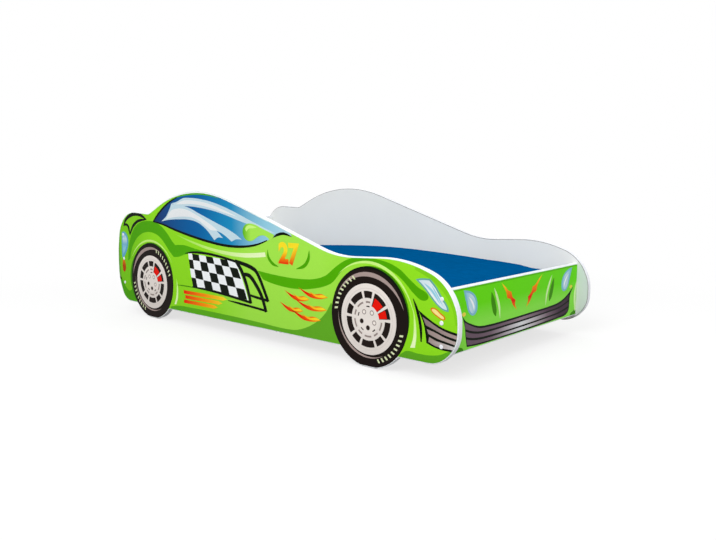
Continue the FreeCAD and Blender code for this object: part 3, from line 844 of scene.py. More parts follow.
class CARBED_OT_shading(bpy.types.Operator):
    """Prints the shaded bands, highlights and body lines on both sides"""

    bl_idname = "carbed.shading"
    bl_label = "Bands and lines"

    def execute(self, context):
        inks = plain(context.scene.car_bed.inks)
        drawing = side_drawing(context)
        self.draw_tail(drawing, inks)
        self.draw_shoulder(drawing, inks)
        self.draw_sill(drawing, inks)
        self.draw_nose(drawing, inks)
        self.draw_highlights(drawing, inks)
        self.draw_lines(drawing, inks)
        other_side(drawing.done("bands"))
        return {"FINISHED"}

    def draw_tail(self, drawing, inks):
        corner = [
            (-780, 150, 1), (-740, 124), (-714, 94), (-690, 84), (-664, 98, 1), (-640, 30, 1),
            (-780, 30, 1),
        ]
        drawing.shape(corner, shade(inks.leaf, 0.85), 1, trim=True)
        edge = [
            (-800, 350, 1), (-736, 342), (-743, 290), (-747, 230), (-746, 170), (-740, 124, 1),
            (-800, 120, 1),
        ]
        run = fade((-758, 0), (-738, 0), shade(inks.moss, 0.85), blend(inks.moss, inks.lime, 0.4))
        drawing.shape(edge, run, 1, trim=True)
        arch = [
            (-694, 196, 1), (-684, 250), (-662, 296), (-632, 327), (-595, 343), (-545, 349), (-500, 345),
            (-465, 332), (-430, 308), (-406, 286), (-388, 273, 1), (-340, 276), (-290, 270), (-235, 263),
            (-180, 257, 1), (-250, 254), (-300, 251), (-335, 244), (-370, 234), (-398, 231, 1), (-424, 250),
            (-452, 276), (-485, 298), (-520, 308), (-560, 309), (-600, 299), (-636, 276), (-662, 246),
            (-678, 205, 1),
        ]
        drawing.shape(arch, fade((-690, 0), (-400, 0), shade(inks.leaf, 0.9), inks.leaf), 1)
        boot = [
            (-712, 327, 1), (-696, 346), (-662, 363), (-620, 368), (-588, 362), (-566, 353, 1), (-616, 344),
            (-648, 325), (-672, 300, 1), (-680, 318), (-692, 328),
        ]
        drawing.shape(boot, blend(inks.lime, inks.moss, 0.2), 1, trim=True)

    def draw_shoulder(self, drawing, inks):
        band = [
            (40, 222, 1), (100, 217), (160, 214), (220, 214), (280, 219), (325, 233), (360, 258),
            (395, 279), (430, 290), (475, 293), (520, 291), (555, 284), (585, 272), (613, 252), (641, 233),
            (672, 216), (672, 207), (655, 201), (627, 217), (603, 238), (578, 256), (550, 269), (515, 279),
            (475, 282), (435, 277), (405, 266), (378, 243), (352, 217), (325, 204), (280, 192), (220, 184),
            (160, 184), (100, 190), (64, 197, 1),
        ]
        run = fade((60, 0), (660, 0), inks.leaf, inks.leaf, shade(inks.leaf, 0.9))
        drawing.shape(band, run, 1, trim=True)

    def draw_sill(self, drawing, inks):
        sill = [
            (-440, 20, 1), (-425, 56, 1), (-380, 64), (-300, 66), (-150, 66), (50, 63), (150, 60),
            (205, 63), (252, 78), (295, 102), (326, 130), (346, 160, 1), (380, 100, 1), (400, 20, 1),
        ]
        run = fade((-400, 0), (340, 0), blend(inks.moss, inks.leaf), inks.moss, inks.moss)
        drawing.shape(sill, run, 1, trim=True)
        skirt = [
            (575, 20, 1), (586, 54, 1), (608, 67), (643, 66), (676, 67), (708, 73), (736, 86, 1),
            (780, 96, 1), (770, 20, 1),
        ]
        run = fade((0, 75), (0, 35), blend(inks.moss, inks.leaf, 0.3), shade(inks.moss, 0.8))
        drawing.shape(skirt, run, 1, trim=True)

    def draw_nose(self, drawing, inks):
        """The soft shade along the rounded top of the nose."""
        edge = [
            (632, 300, 1), (700, 275), (745, 240), (775, 180), (780, 150, 1), (753, 152, 1), (745, 186),
            (730, 213), (705, 238), (672, 259), (632, 276, 1),
        ]
        drawing.shape(edge, blend(inks.lime, inks.leaf, 0.32), 1, trim=True)

    def draw_highlights(self, drawing, inks):
        window = [
            (-384, 310, 1), (-300, 294), (-200, 278), (-120, 271), (-40, 270), (40, 276), (74, 280, 1),
            (78, 267, 1), (40, 262), (-40, 257), (-120, 260), (-200, 269), (-300, 288),
        ]
        run = fade((-384, 0), (40, 0), blend(inks.lime, inks.pale_lime, 0.3), inks.pale_lime, inks.cream)
        drawing.shape(window, run, 1, slices=(-200, -90, 0))
        rear, front = CARBED_OT_wheels.rear, CARBED_OT_wheels.front
        soft = [crescent(rear, 141, TYRE_RADIUS, 0, 130), crescent(front, 143, TYRE_RADIUS, -15, 120)]
        soft.append(crescent(rear, 142, TYRE_RADIUS, 130, 225))
        drawing.ink(soft, shade(inks.leaf, 0.55), 2)
        deep = [crescent(rear, 137, TYRE_RADIUS, -10, 170), crescent(front, 138, TYRE_RADIUS, -20, 160)]
        drawing.ink(deep, inks.line, 3)
        lips = [crescent(rear, 142, 149, 30, 150), crescent(front, 144, 152, 10, 135)]
        drawing.ink(lips, inks.pale_lime, 2)
        sheen = [
            (-386, 158, 1), (-387, 122), (-392, 92), (-404, 66, 1), (-392, 68, 1), (-381, 95), (-379, 125),
        ]
        drawing.shape(sheen, fade((0, 150), (0, 70), inks.pale_lime, inks.cream), 1)
        sheen = [
            (626, 180, 1), (629, 156), (630, 128), (627, 99), (619, 77, 1), (634, 79, 1), (638, 106),
            (637, 134), (632, 162),
        ]
        drawing.shape(sheen, fade((0, 160), (0, 80), inks.pale_lime, inks.cream), 1)

    def draw_lines(self, drawing, inks):
        outer = [(-714, 324), (-698, 347), (-663, 365), (-620, 371), (-588, 365), (-560, 352)]
        drawing.ink([stroke(outer, 13, 0.5, 0.3)], inks.line, 3, trim=True)
        fold = [(-562, 354), (-618, 345), (-650, 326), (-673, 294)]
        drawing.ink([stroke(fold, 11, 0.3, 0.5)], inks.line, 4)
        inner = [
            stroke([(-711, 328), (-696, 330), (-683, 324), (-676, 306), (-672, 294)], 10, 0.5, 0.5),
            stroke([(112, 326), (130, 335), (158, 340), (192, 333)], 8),
            stroke([(627, 203), (638, 180), (647, 153), (652, 126), (653, 97)], 8.5, 0.2, 0.4),
        ]
        drawing.ink(inner, inks.line, 5)
        arcs = [
            stroke([(86, 289), (90, 266), (106, 250), (134, 241)], 10),
            stroke([(262, 298), (258, 273), (243, 254), (208, 241)], 11),
        ]
        drawing.ink(arcs, shade(inks.leaf, 0.9), 2)
        crease = stroke([(-384, 136), (-340, 137), (-288, 137)], 3.4, 0.3, 0.7)
        drawing.ink([crease], shade(inks.leaf, 0.5), 2)


class CARBED_OT_glass(bpy.types.Operator):
    """Prints the windows, their reflections and the door mirror on both sides"""

    bl_idname = "carbed.glass"
    bl_label = "Windows and mirror"

    def execute(self, context):
        inks = plain(context.scene.car_bed.inks)
        drawing = side_drawing(context)
        navy, glass, azure, sky = inks.navy, inks.glass, inks.azure, inks.sky
        pane = [
            (-516, 349, 1), (-484, 376), (-448, 400), (-410, 420), (-372, 434), (-330, 450), (-240, 470),
            (-140, 460), (-40, 430), (60, 400), (160, 370, 1), (192, 334, 1), (158, 339), (112, 327, 1),
            (84, 315, 1), (50, 303), (10, 294), (-50, 288), (-120, 288), (-200, 295), (-300, 309),
            (-400, 327), (-450, 338),
        ]
        tints = [navy, blend(navy, glass, 0.4), blend(navy, glass, 0.85), glass, blend(glass, azure), azure]
        tints += [blend(azure, sky, 0.65), sky, blend(sky, inks.shine, 0.25)]
        run = fade((-516, 0), (180, 0), *tints)
        drawing.shape(pane, run, 1, trim=True, slices=range(-440, 180, 40))
        self.draw_reflections(drawing, inks)
        waist = [
            (-518, 349), (-450, 339), (-400, 328), (-300, 310), (-200, 296), (-120, 289), (-50, 289),
            (10, 295), (50, 304), (85, 316),
        ]
        drawing.ink([stroke(waist, 8, 0.6, 0.4)], inks.line, 4)
        pillar = [(-515, 350), (-484, 376), (-448, 400), (-410, 420), (-366, 436)]
        drawing.ink([stroke(pillar, 7, 0.8, 0.2)], inks.line, 5, trim=True)
        self.draw_mirror(drawing, inks)
        self.draw_margin(drawing, inks)
        other_side(drawing.done("windows"))
        return {"FINISHED"}

    def draw_margin(self, drawing, inks):
        """The white margin of the film along the roof, with a thin green line under its crest."""
        roof = [
            (-540, 379), (-500, 397), (-450, 419), (-400, 437), (-340, 450), (-290, 455.5), (-245, 457),
            (-200, 454), (-140, 444), (-60, 421), (30, 392), (90, 372),
        ]
        crest = [(x, z - 8) for x, z in roof[3:9]]
        drawing.ink([stroke(crest, 6)], inks.leaf, 3, trim=True)
        drawing.ink([stroke(roof, 11, 0.3, 0.05)], shade(inks.shine, 1.12), 8, trim=True)

    def draw_reflections(self, drawing, inks):
        pale = blend(inks.shine, inks.sky)
        high = [
            (-400, 415, 1), (-372, 420), (-335, 433), (-290, 435), (-240, 432), (-190, 426), (-140, 416),
            (-90, 403), (-40, 388), (10, 372), (60, 357), (104, 344), (128, 338, 1), (95, 341), (50, 349),
            (0, 360), (-50, 371), (-110, 385), (-170, 396), (-230, 403), (-290, 407), (-330, 407),
            (-370, 402, 1),
        ]
        low = [
            (-466, 351, 1), (-437, 368), (-414, 395), (-402, 414, 1), (-368, 405), (-330, 407), (-290, 399),
            (-250, 386), (-200, 371), (-150, 356), (-100, 341), (-60, 326), (-32, 312, 1), (-60, 311),
            (-82, 303, 1), (-110, 318), (-135, 328), (-156, 333, 1), (-125, 312, 1), (-150, 312),
            (-169, 302, 1), (-190, 320), (-212, 336), (-240, 350), (-270, 359), (-310, 363), (-360, 362),
            (-420, 358),
        ]
        drawing.shape(high, pale, 2)
        drawing.shape(low, pale, 3)
        core = [
            (-378, 412, 1), (-335, 425), (-290, 427), (-230, 423), (-170, 413), (-110, 398), (-50, 381, 1),
            (-110, 391), (-170, 402), (-230, 411), (-290, 415), (-335, 413),
        ]
        drawing.shape(core, inks.shine, 4)
        heart = [
            (-436, 360, 1), (-408, 388), (-376, 397), (-325, 397), (-270, 383), (-220, 365), (-178, 348),
            (-150, 334, 1), (-185, 334), (-215, 346), (-245, 360), (-290, 371), (-350, 371), (-400, 366),
        ]
        drawing.shape(heart, inks.shine, 5)

    def draw_mirror(self, drawing, inks):
        mirror = [
            (-27, 338), (-19, 355), (2, 363), (30, 361), (58, 352), (86, 344), (118, 334, 1), (102, 316, 1),
            (76, 329), (52, 328), (35, 320), (20, 312), (-5, 310), (-21, 320),
        ]
        lit = blend(inks.lime, inks.pale_lime, 0.33)
        drawing.shape(mirror, fade((-28, 0), (40, 0), inks.leaf, lit, lit), 6, slices=(-10, 10))
        gleam = [(-14, 346), (-4, 356), (18, 357), (40, 352, 1), (20, 349), (2, 347), (-9, 338, 1)]
        drawing.shape(gleam, inks.pale_lime, 7)


class CARBED_OT_wheels(bpy.types.Operator):
    """Prints the wheels on both sides"""

    bl_idname = "carbed.wheels"
    bl_label = "Wheels"
    rear = (-539, 133.5)
    front = (480, 133.5)
    rim_drop = 2.5
    windows = 10
    bolts = 5
    tyre_marks = 9
    mark_turn = 7

    def execute(self, context):
        inks = plain(context.scene.car_bed.inks)
        sizes = context.scene.car_bed.sizes
        for name, centre, turned in (("rear_wheel", self.rear, -100), ("front_wheel", self.front, 0)):
            drawing = side_drawing(context)
            hub = (centre[0], centre[1] - self.rim_drop)
            self.draw_tyre(drawing, inks, centre, sizes.tyre / MM, turned)
            self.draw_rim(drawing, inks, hub, sizes.rim / MM)
            self.draw_hub(drawing, inks, hub, sizes.rim / MM)
            other_side(drawing.done(name))
        return {"FINISHED"}

    def draw_tyre(self, drawing, inks, centre, tyre, turned):
        black, scuff, cream = inks.tyre, inks.scuff, inks.cream
        drawing.ink([disc(centre, tyre, 120)], black, 2, trim=True)
        top = crescent(centre, tyre - 21, tyre - 9, 16 - turned * 0.45, 152 - turned * 0.2)
        foot = crescent(centre, tyre - 31, tyre - 25, 175, 300)
        drawing.ink([top, foot], scuff, 3)
        for first in (114 + turned, 286 + turned):
            marks = []
            for i in range(self.tyre_marks):
                turn = first + self.mark_turn * i
                outer = arc(centre, tyre - 11, turn + 1.6, turn + 4.2, 3)
                inner = arc(centre, tyre - 22, turn + 2.6, turn, 3)
                marks.append(outer + inner)
            drawing.ink(marks, blend(cream, scuff, 0.3), 4)

    def draw_rim(self, drawing, inks, hub, rim):
        light, grey, dark, red = inks.rim, inks.slot_grey, inks.tyre, inks.red
        drawing.ink([disc(hub, rim + 2, 96)], shade(dark, 0.6), 5)
        metal = fade((0, hub[1] + rim), (0, hub[1] - rim), shade(light, 1.06), light, shade(light, 0.92))
        drawing.ink([disc(hub, rim, 96)], metal, 6)
        drawing.ink([sector(hub, rim * 0.86, rim * 0.875, 3, 357)], shade(light, 0.86), 7)
        windows, slots = [], []
        for i in range(self.windows):
            middle = 360 / self.windows * (i + 0.5)
            half = 11.5 if i % 2 == 0 else 18
            deep = 0.36 if i < 2 else 0.6
            windows.append(sector(hub, rim * deep, rim * 0.795, middle - half, middle + half))
            if i >= 2:
                slots.append(sector(hub, rim * 0.46, rim * 0.51, middle - half * 0.8, middle + half * 0.8))
        drawing.ink(windows, shade(dark, 1.3), 7)
        drawing.ink(slots, grey, 8)
        caliper = [sector(hub, rim * 0.37, rim * 0.68, 8, 28), sector(hub, rim * 0.37, rim * 0.66, 38, 68)]
        drawing.ink(caliper, red, 8)

    def draw_hub(self, drawing, inks, hub, rim):
        light, grey, dark = inks.rim, inks.slot_grey, inks.tyre
        drawing.ink([disc(hub, rim * 0.4, 60)], shade(light, 1.03), 9)
        marks = [sector(hub, rim * 0.345, rim * 0.38, turn - 9, turn + 9) for turn in (90, 162, 234, 306)]
        drawing.ink(marks, shade(dark, 2.4), 10)
        turns = [54 + 360 / self.bolts * i for i in range(self.bolts)]
        bolts = [arc(hub, rim * 0.24, turn, turn, 1)[0] for turn in turns]
        drawing.ink([disc(bolt, 7, 20) for bolt in bolts], grey, 10)
        drawing.ink([disc(bolt, 4.6, 16) for bolt in bolts[:2] + bolts[4:]], shade(light, 1.1), 11)
        drawing.ink([disc(bolt, 6, 16) for bolt in bolts[2:4]], shade(dark, 2.0), 11)


class CARBED_OT_flag(bpy.types.Operator):
    """Prints the chequered flag and the vents beside it on both sides"""

    bl_idname = "carbed.flag"
    bl_label = "Flag and vents"
    rows = 4
    columns = 7
    margin = 0.14
    corners = ((-314, 251), (-64, 242), (-6, 126), (-292, 140))
    # Shares of the first column and row that are cut off
    cut_column = 0.4
    cut_row = 0.3
    # How far the columns sway, and how far across the flag they hang straight
    sway = 6
    straight = 0.4

    def execute(self, context):
        inks = plain(context.scene.car_bed.inks)
        line, white = inks.line, inks.shine
        drawing = side_drawing(context)
        last = self.columns + self.margin
        sheet = [self.spot(i, 0) for i in range(self.columns)]
        sheet += [self.spot(last, j) for j in range(self.rows + 1)]
        sheet += [self.spot(i, self.rows) for i in reversed(range(self.columns))]
        sheet += [self.spot(0, j) for j in range(self.rows - 1, 0, -1)]
        drawing.ink([sheet], shade(white, 1.1), 2)
        # Squares that meet at a corner go in separate plates
        even, odd = [], []
        for j in range(self.rows):
            for i in range(self.columns):
                if (i + j) % 2 == 1:
                    square = [self.spot(i + a, j + b) for a, b in ((0, 0), (1, 0), (1, 1), (0, 1))]
                    (odd if j % 2 else even).append(square)
        drawing.ink(even, line, 3)
        drawing.ink(odd, line, 3)
        self.draw_frames(drawing, line)
        other_side(drawing.done("flag"))
        return {"FINISHED"}

    def spot(self, i, j):
        """A corner of the flag's squares. The first row and column are cut short."""
        across = max(0, i - self.cut_column) / (self.columns + self.margin - self.cut_column)
        down = max(0, j - self.cut_row) / (self.rows - self.cut_row)
        a, b, c, d = (Vector(corner) for corner in self.corners)
        wave = Vector((self.sway * math.sin(math.pi * down), 0))
        return a.lerp(b, across).lerp(d.lerp(c, across), down) + wave * (across - self.straight)

    def draw_frames(self, drawing, line):
        outer = [(-66, 243), (-27, 237), (7, 230), (30, 221), (41, 210), (61, 178), (86, 132)]
        frames = [
            stroke([(-330, 249), (-288, 255), (-206, 256), (-131, 250), (-59, 241)], 8, 0.3, 1.0),
            stroke([(-64, 244), (-38, 217), (-14, 174), (6, 117)], 14, 0.9, 0.9),
            stroke(outer, 13, 0.8, 0.9),
            stroke([(-36, 204), (0, 203), (29, 180), (57, 144), (76, 99)], 14, 0.7, 0.9),
            stroke([(84, 135), (43, 138), (0, 143)], 8, 1.0, 0.8),
            stroke([(74, 103), (-15, 109), (-106, 114)], 7, 1.0, 0.3),
            stroke([(-296, 138), (-211, 137), (-102, 130), (6, 120)], 8, 0.4, 1.0),
        ]
        for layer, outline in enumerate(frames, 4):
            drawing.ink([outline], line, layer)


class CARBED_OT_lamps(bpy.types.Operator):
    """Prints the lamps and the corner of the grille on both sides"""

    bl_idname = "carbed.lamps"
    bl_label = "Side lamps and grille"

    def execute(self, context):
        inks = plain(context.scene.car_bed.inks)
        drawing = side_drawing(context)
        self.draw_head(drawing, inks)
        self.draw_grille(drawing, inks)
        self.draw_rear(drawing, inks)
        other_side(drawing.done("lamps"))
        return {"FINISHED"}

    def draw_head(self, drawing, inks):
        sky, glass, shine = inks.sky, inks.glass, inks.shine
        shell = [
            (634, 252, 1), (651, 256), (678, 257, 1), (695, 241), (712, 218), (732, 191), (733, 182, 1),
            (718, 184), (701, 193), (681, 211), (661, 231),
        ]
        drawing.shape(shell, blend(blend(glass, inks.leaf), sky, 0.35), 2)
        lens = [
            (643, 250, 1), (654, 252), (675, 253, 1), (691, 238), (708, 215), (727, 191), (728, 186, 1),
            (717, 188), (702, 197), (684, 214), (664, 234),
        ]
        pale = blend(sky, shine, 0.6)
        drawing.shape(lens, fade((650, 250), (725, 190), pale, shine, pale), 3)
        ribs = [
            stroke([(660, 245), (684, 228), (708, 199)], 6),
            stroke([(683, 241), (699, 220), (716, 195)], 4),
        ]
        drawing.ink(ribs, sky, 4)
        turn = [(680, 184), (692, 187), (709, 178), (724, 164), (717, 160), (702, 165), (686, 175)]
        drawing.shape(turn, shade(inks.orange, 0.75), 2)
        core = [(684, 182), (692, 184), (708, 174), (720, 164), (715, 163), (703, 168), (689, 176)]
        drawing.shape(core, blend(inks.yellow, shine, 0.3), 3)

    def draw_grille(self, drawing, inks):
        mouth = [
            (644, 176, 1), (676, 158), (702, 146), (728, 138), (790, 130, 1), (790, 84, 1), (742, 86),
            (716, 86), (690, 90), (669, 97, 1), (666, 117), (660, 144),
        ]
        drawing.shape(mouth, inks.line, 2, trim=True)
        bars = [
            [
                (656, 161, 1), (678, 151), (702, 140), (728, 132), (780, 124, 1), (780, 116, 1), (722, 124),
                (696, 132), (667, 141, 1),
            ],
            [
                (670, 132, 1), (697, 126), (722, 118), (780, 109, 1), (780, 100, 1), (722, 109), (699, 113),
                (674, 121, 1),
            ],
            [
                (677, 113, 1), (700, 106), (722, 103), (780, 95, 1), (780, 89, 1), (742, 91), (716, 91),
                (690, 95), (675, 101, 1),
            ],
        ]
        tints = [
            (blend(inks.plum, inks.scuff, 0.55), blend(inks.plum, inks.scuff, 0.75), inks.scuff),
            (blend(inks.plum, inks.scuff, 0.7), inks.scuff, blend(inks.scuff, inks.shine, 0.1)),
            (blend(inks.plum, inks.scuff, 0.85), inks.scuff, blend(inks.scuff, inks.shine, 0.5)),
        ]
        for bar, tint in zip(bars, tints):
            drawing.shape(bar, fade((655, 0), (745, 0), *tint), 3, trim=True)

    def draw_rear(self, drawing, inks):
        lamp = [
            (-729, 301, 1), (-715, 303), (-700, 297), (-690, 283), (-688, 262), (-696, 238), (-710, 219),
            (-724, 206), (-733, 207, 1), (-733, 250),
        ]
        blue = blend(inks.sky, inks.azure, 0.35)
        drawing.shape(lamp, blend(inks.azure, inks.sky, 0.4), 2, trim=True)
        bulb = [
            (-724, 293, 1), (-714, 297), (-703, 289), (-696, 274), (-697, 258), (-706, 240), (-718, 224),
            (-727, 218, 1), (-727, 255),
        ]
        run = fade((0, 297), (0, 216), blue, blend(inks.sky, inks.shine), blue, inks.sky, blue)
        drawing.shape(bulb, run, 3)
        marker = [
            (-731, 197, 1), (-720, 198), (-713, 188), (-710, 173), (-713, 159), (-722, 152), (-731, 158, 1),
            (-733, 178),
        ]
        rust = shade(blend(inks.orange, inks.red, 0.6), 0.5)
        drawing.shape(marker, fade((0, 198), (0, 152), shade(inks.orange, 0.8), rust, rust), 2, trim=True)


def lick(x, z, length, rise):
    """The outline of a flame that trails back from its root to a thin tip."""
    return flowing([
        (x, z, 1), (x - 0.2 * length, z + 0.42 * rise), (x - 0.52 * length, z + 0.2 * rise),
        (x - length, z + rise, 1), (x - 0.6 * length, z - 0.35 * rise), (x - 0.24 * length, z - 0.42 * rise),
    ])


class CARBED_OT_racing(bpy.types.Operator):
    """Prints the flames, the stripes and the start number on both sides"""

    bl_idname = "carbed.racing"
    bl_label = "Flames, stripes and number"
    number = "27"
    number_place = (176, 280)
    number_height = 82
    number_weight = 0.0038
    stripe_half = 6
    stripe_point = 20

    def execute(self, context):
        inks = plain(context.scene.car_bed.inks)
        red, orange, yellow = inks.red, inks.orange, inks.yellow
        drawing = side_drawing(context)
        roots = ((334, 172, 118), (262, 158, 104), (330, 136, 128), (236, 122, 100), (306, 104, 120))
        for x, z, length in roots:
            drawing.ink([lick(x, z, length, 17)], fade((x - length, z), (x, z), red, red, orange), 2)
            core = lick(x - 4, z + 1, length * 0.62, 9)
            drawing.ink([core], fade((x - length * 0.6, z), (x, z), orange, yellow, yellow), 3)
        stripes = []
        for left, right, height in ((-346, -112, 116), (-338, -136, 100), (-346, -160, 84)):
            top, bottom = height + self.stripe_half, height - self.stripe_half
            bend = right - self.stripe_point
            stripes.append([(left, top), (bend, top), (right, height), (bend, bottom), (left, bottom)])
        drawing.ink(stripes, fade((-346, 0), (-112, 0), red, orange, yellow), 2, slices=(-230,))
        other_side(drawing.done("flames"))
        for side in ("right", "left"):
            self.draw_number(context, side, inks)
        return {"FINISHED"}

    def draw_number(self, context, side, inks):
        drawing = Drawing(side, context.scene.car_bed.sizes.ink)
        deselect_all()
        bpy.ops.object.text_add()
        text = context.object.data
        text.body = self.number
        text.align_x = "CENTER"
        text.align_y = "CENTER"
        text.size = self.number_height * MM
        text.offset = self.number_weight
        text.extrude = drawing.half_depth
        bpy.ops.object.convert(target="MESH")
        digits = context.object
        across = self.number_place[0] if side == "right" else -self.number_place[0]
        digits.data.transform(Matrix.Translation((across * MM, self.number_place[1] * MM, 0)))
        half = self.number_height * 0.35
        low, high = self.number_place[1] - half, self.number_place[1] + half
        drawing.add(digits, fade((0, high), (0, low), inks.yellow, inks.yellow, inks.orange, inks.red), 2)
        drawing.done("number")


def spread(points, way):
    """The points on one half of an end panel."""
    return [(point[0] * way, *point[1:]) for point in points]


class CARBED_OT_front(bpy.types.Operator):
    """Prints the car's face on the front panel"""

    bl_idname = "carbed.front"
    bl_label = "Front print"
    # The right half and the left half: how far each is stretched, and how much further out its fold lies
    reach = {-1: 1.0, 1: 1.08}
    fold_shift = {-1: 0, 1: 20}

    def execute(self, context):
        settings = context.scene.car_bed
        inks = plain(settings.inks)
        drawing = Drawing("front", settings.sizes.ink)
        draw_bumper(drawing, inks)
        for way, stretch in self.reach.items():
            self.draw_half(drawing, inks, way * stretch)
            self.draw_folds(drawing, inks, way * stretch, self.fold_shift[way])
        self.draw_shadow(drawing, inks)
        drawing.done("face")
        return {"FINISHED"}

    def draw_shadow(self, drawing, inks):
        """The darker line under the panel's top strip."""
        low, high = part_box("front_print_film")
        top = high.z / MM - 2
        shadow = stroke([(low.y / MM, top), (high.y / MM, top)], 5, 1, 1)
        drawing.ink([shadow], blend(inks.leaf, inks.spring, 0.3), 1, trim=True)

    def draw_half(self, drawing, inks, way):
        """One half of the face. way is -1 for the right of the car and about 1 for its left."""
        sky, shine, glass = inks.sky, inks.shine, inks.glass
        leaf, pale, orange = inks.leaf, inks.pale_lime, inks.orange
        shell = [
            (296, 224, 1), (266, 218), (243, 205), (231, 183), (235, 161), (251, 154), (271, 165),
            (284, 194),
        ]
        drawing.shape(spread(shell, way), blend(glass, sky, 0.75), 1)
        lens = [
            (287, 218, 1), (265, 212), (247, 200), (237, 181), (240, 165), (252, 159), (266, 169),
            (277, 194),
        ]
        run = fade((way * 284, 200), (way * 236, 178), sky, blend(sky, shine, 0.7), sky)
        drawing.shape(spread(lens, way), run, 2)
        gleam = [(273, 205, 1), (256, 194), (245, 177), (246, 165, 1), (254, 180), (263, 193)]
        drawing.shape(spread(gleam, way), shade(shine, 1.1), 3)
        dot = [(284, 163), (293, 168), (301, 164), (293, 157)]
        drawing.shape(spread(dot, way), blend(blend(orange, inks.yellow, 0.55), pale, 0.35), 2)
        ridge = [(330, 178), (321, 130), (327, 82)]
        drawing.ink([stroke(spread(ridge, way), 13, 0.1, 0.6)], blend(pale, shine, 0.3), 2)
        foot = [(360, 112, 1), (340, 100), (318, 84), (296, 76), (288, 60, 1), (380, 60, 1)]
        drawing.shape(spread(foot, way), shade(leaf, 0.6), 1, trim=True)
        flame = [
            (112, 222, 1), (97, 206), (84, 190), (80, 178), (62, 172), (48, 154), (26, 138, 1), (36, 156),
            (34, 166, 1), (52, 178), (58, 192, 1), (74, 197), (92, 210),
        ]
        heat = fade((0, 222), (0, 138), inks.yellow, orange, inks.red, orange)
        drawing.shape(spread(flame, way), heat, 1)

    def draw_folds(self, drawing, inks, way, shift):
        """The dark fold in one half of the bonnet and the light along its edge."""
        fold = [(y + shift, z) for y, z in ((162, 203), (153, 176), (144, 152), (138, 136))]
        drawing.ink([stroke(spread(fold, way), 20)], shade(inks.leaf, 0.62), 1)
        edge = [(y + shift, z) for y, z in ((149, 213), (134, 187), (122, 161), (116, 127))]
        drawing.ink([stroke(spread(edge, way), 10)], blend(inks.pale_lime, inks.shine, 0.3), 2)


def draw_bumper(drawing, inks):
    """The dark bumper across the bottom of an end panel: three bars that catch the light in the middle."""
    edge = [
        (-300, 160, 1), (-286, 146), (-257, 133), (-219, 122), (-170, 118.5), (-65, 117.5), (50, 118.5),
        (176, 120), (229, 123), (271, 132), (303, 145), (336, 163, 1), (319, 146), (310, 130), (309, 108),
        (305, 90), (292, 80), (229, 74.5), (111, 72), (0, 71.5), (-118, 72), (-219, 73), (-277, 77, 1),
        (-283, 100), (-288, 130),
    ]
    drawing.shape(edge, inks.line, 1)
    across = range(-240, 300, 40)
    dark, dusk = blend(inks.plum, inks.mauve, 0.28), blend(inks.plum, inks.line, 0.3)
    bars = [
        [
            (-289, 142, 1), (-257, 128), (-219, 116.5), (-170, 113), (-65, 112), (50, 113), (176, 114.5),
            (229, 117), (271, 126), (303, 139, 1), (303, 123, 1), (271, 115), (229, 109), (176, 107),
            (50, 105), (-65, 104.5), (-170, 105), (-219, 108), (-257, 115), (-285, 124, 1),
        ],
        [
            (-284, 118, 1), (-257, 109), (-219, 102), (-170, 99.5), (-65, 99.5), (50, 100), (176, 102.5),
            (229, 104), (271, 110), (304, 117, 1), (303, 103, 1), (271, 98), (229, 93), (176, 91.5),
            (50, 89.5), (-65, 89), (-170, 90), (-219, 92), (-257, 97), (-281, 103, 1),
        ],
        [
            (-280, 97, 1), (-257, 91), (-219, 86), (-170, 84), (-65, 84), (50, 84.5), (176, 86.5),
            (229, 88), (271, 92), (302, 97, 1), (298, 87, 1), (271, 82.5), (229, 79.5), (176, 78.5),
            (50, 76.5), (-65, 76), (-170, 76.5), (-219, 77.5), (-257, 79.5), (-275, 81, 1),
        ],
    ]
    half = blend(inks.plum, inks.mauve)
    glint = fade((-290, 0), (305, 0), dark, dark, dark, half, inks.mauve, half, inks.plum, dusk, dusk)
    drawing.shape(bars[0], glint, 2, slices=across)
    glow, bright = blend(inks.mauve, inks.shine, 0.33), blend(inks.mauve, inks.shine, 0.85)
    glint = fade((-290, 0), (305, 0), dark, dark, half, glow, bright, glow, half, dusk, dusk)
    drawing.shape(bars[1], glint, 2, slices=across)
    drawing.shape(bars[2], glint, 3, slices=across)


class CARBED_OT_rear(bpy.types.Operator):
    """Prints the car's tail on the rear panel"""

    bl_idname = "carbed.rear"
    bl_label = "Rear print"

    def execute(self, context):
        settings = context.scene.car_bed
        inks = plain(settings.inks)
        drawing = Drawing("rear", settings.sizes.ink)
        draw_bumper(drawing, inks)
        leaf, pale, line = inks.leaf, inks.pale_lime, inks.line
        lamps = ((294, 17, 9, inks.red, inks.orange), (259, 14, 7, blend(inks.sky, inks.shine), inks.shine))
        lid = [
            (-215, 196, 1), (-205, 250), (-185, 284), (-120, 296), (0, 300), (120, 296), (185, 284),
            (205, 250), (215, 196, 1), (120, 188), (0, 185), (-120, 188),
        ]
        drawing.shape(lid, fade((0, 300), (0, 185), blend(leaf, pale, 0.33), leaf), 1)
        seam = [(-218, 194), (-120, 186), (0, 183), (120, 186), (218, 194)]
        drawing.ink([stroke(seam, 4, 0.3, 0.3)], line, 2)
        ridge = [(-190, 290), (-100, 301), (0, 304), (100, 301), (190, 290)]
        drawing.ink([stroke(ridge, 6)], pale, 2)
        for way in (-1, 1):
            shell = [
                (318, 270, 1), (262, 262), (236, 240), (234, 212), (256, 196), (312, 192, 1), (322, 230),
            ]
            drawing.shape(spread(shell, way), line, 1)
            for middle, outer, inner, colour, core in lamps:
                drawing.ink([disc((way * middle, 231), outer, 32)], colour, 2)
                drawing.ink([disc((way * middle, 233), inner, 24)], core, 3)
            drawing.ink([stroke(spread([(340, 280), (337, 200), (330, 110)], way), 8)], pale, 1)
        drawing.done("tail")
        return {"FINISHED"}


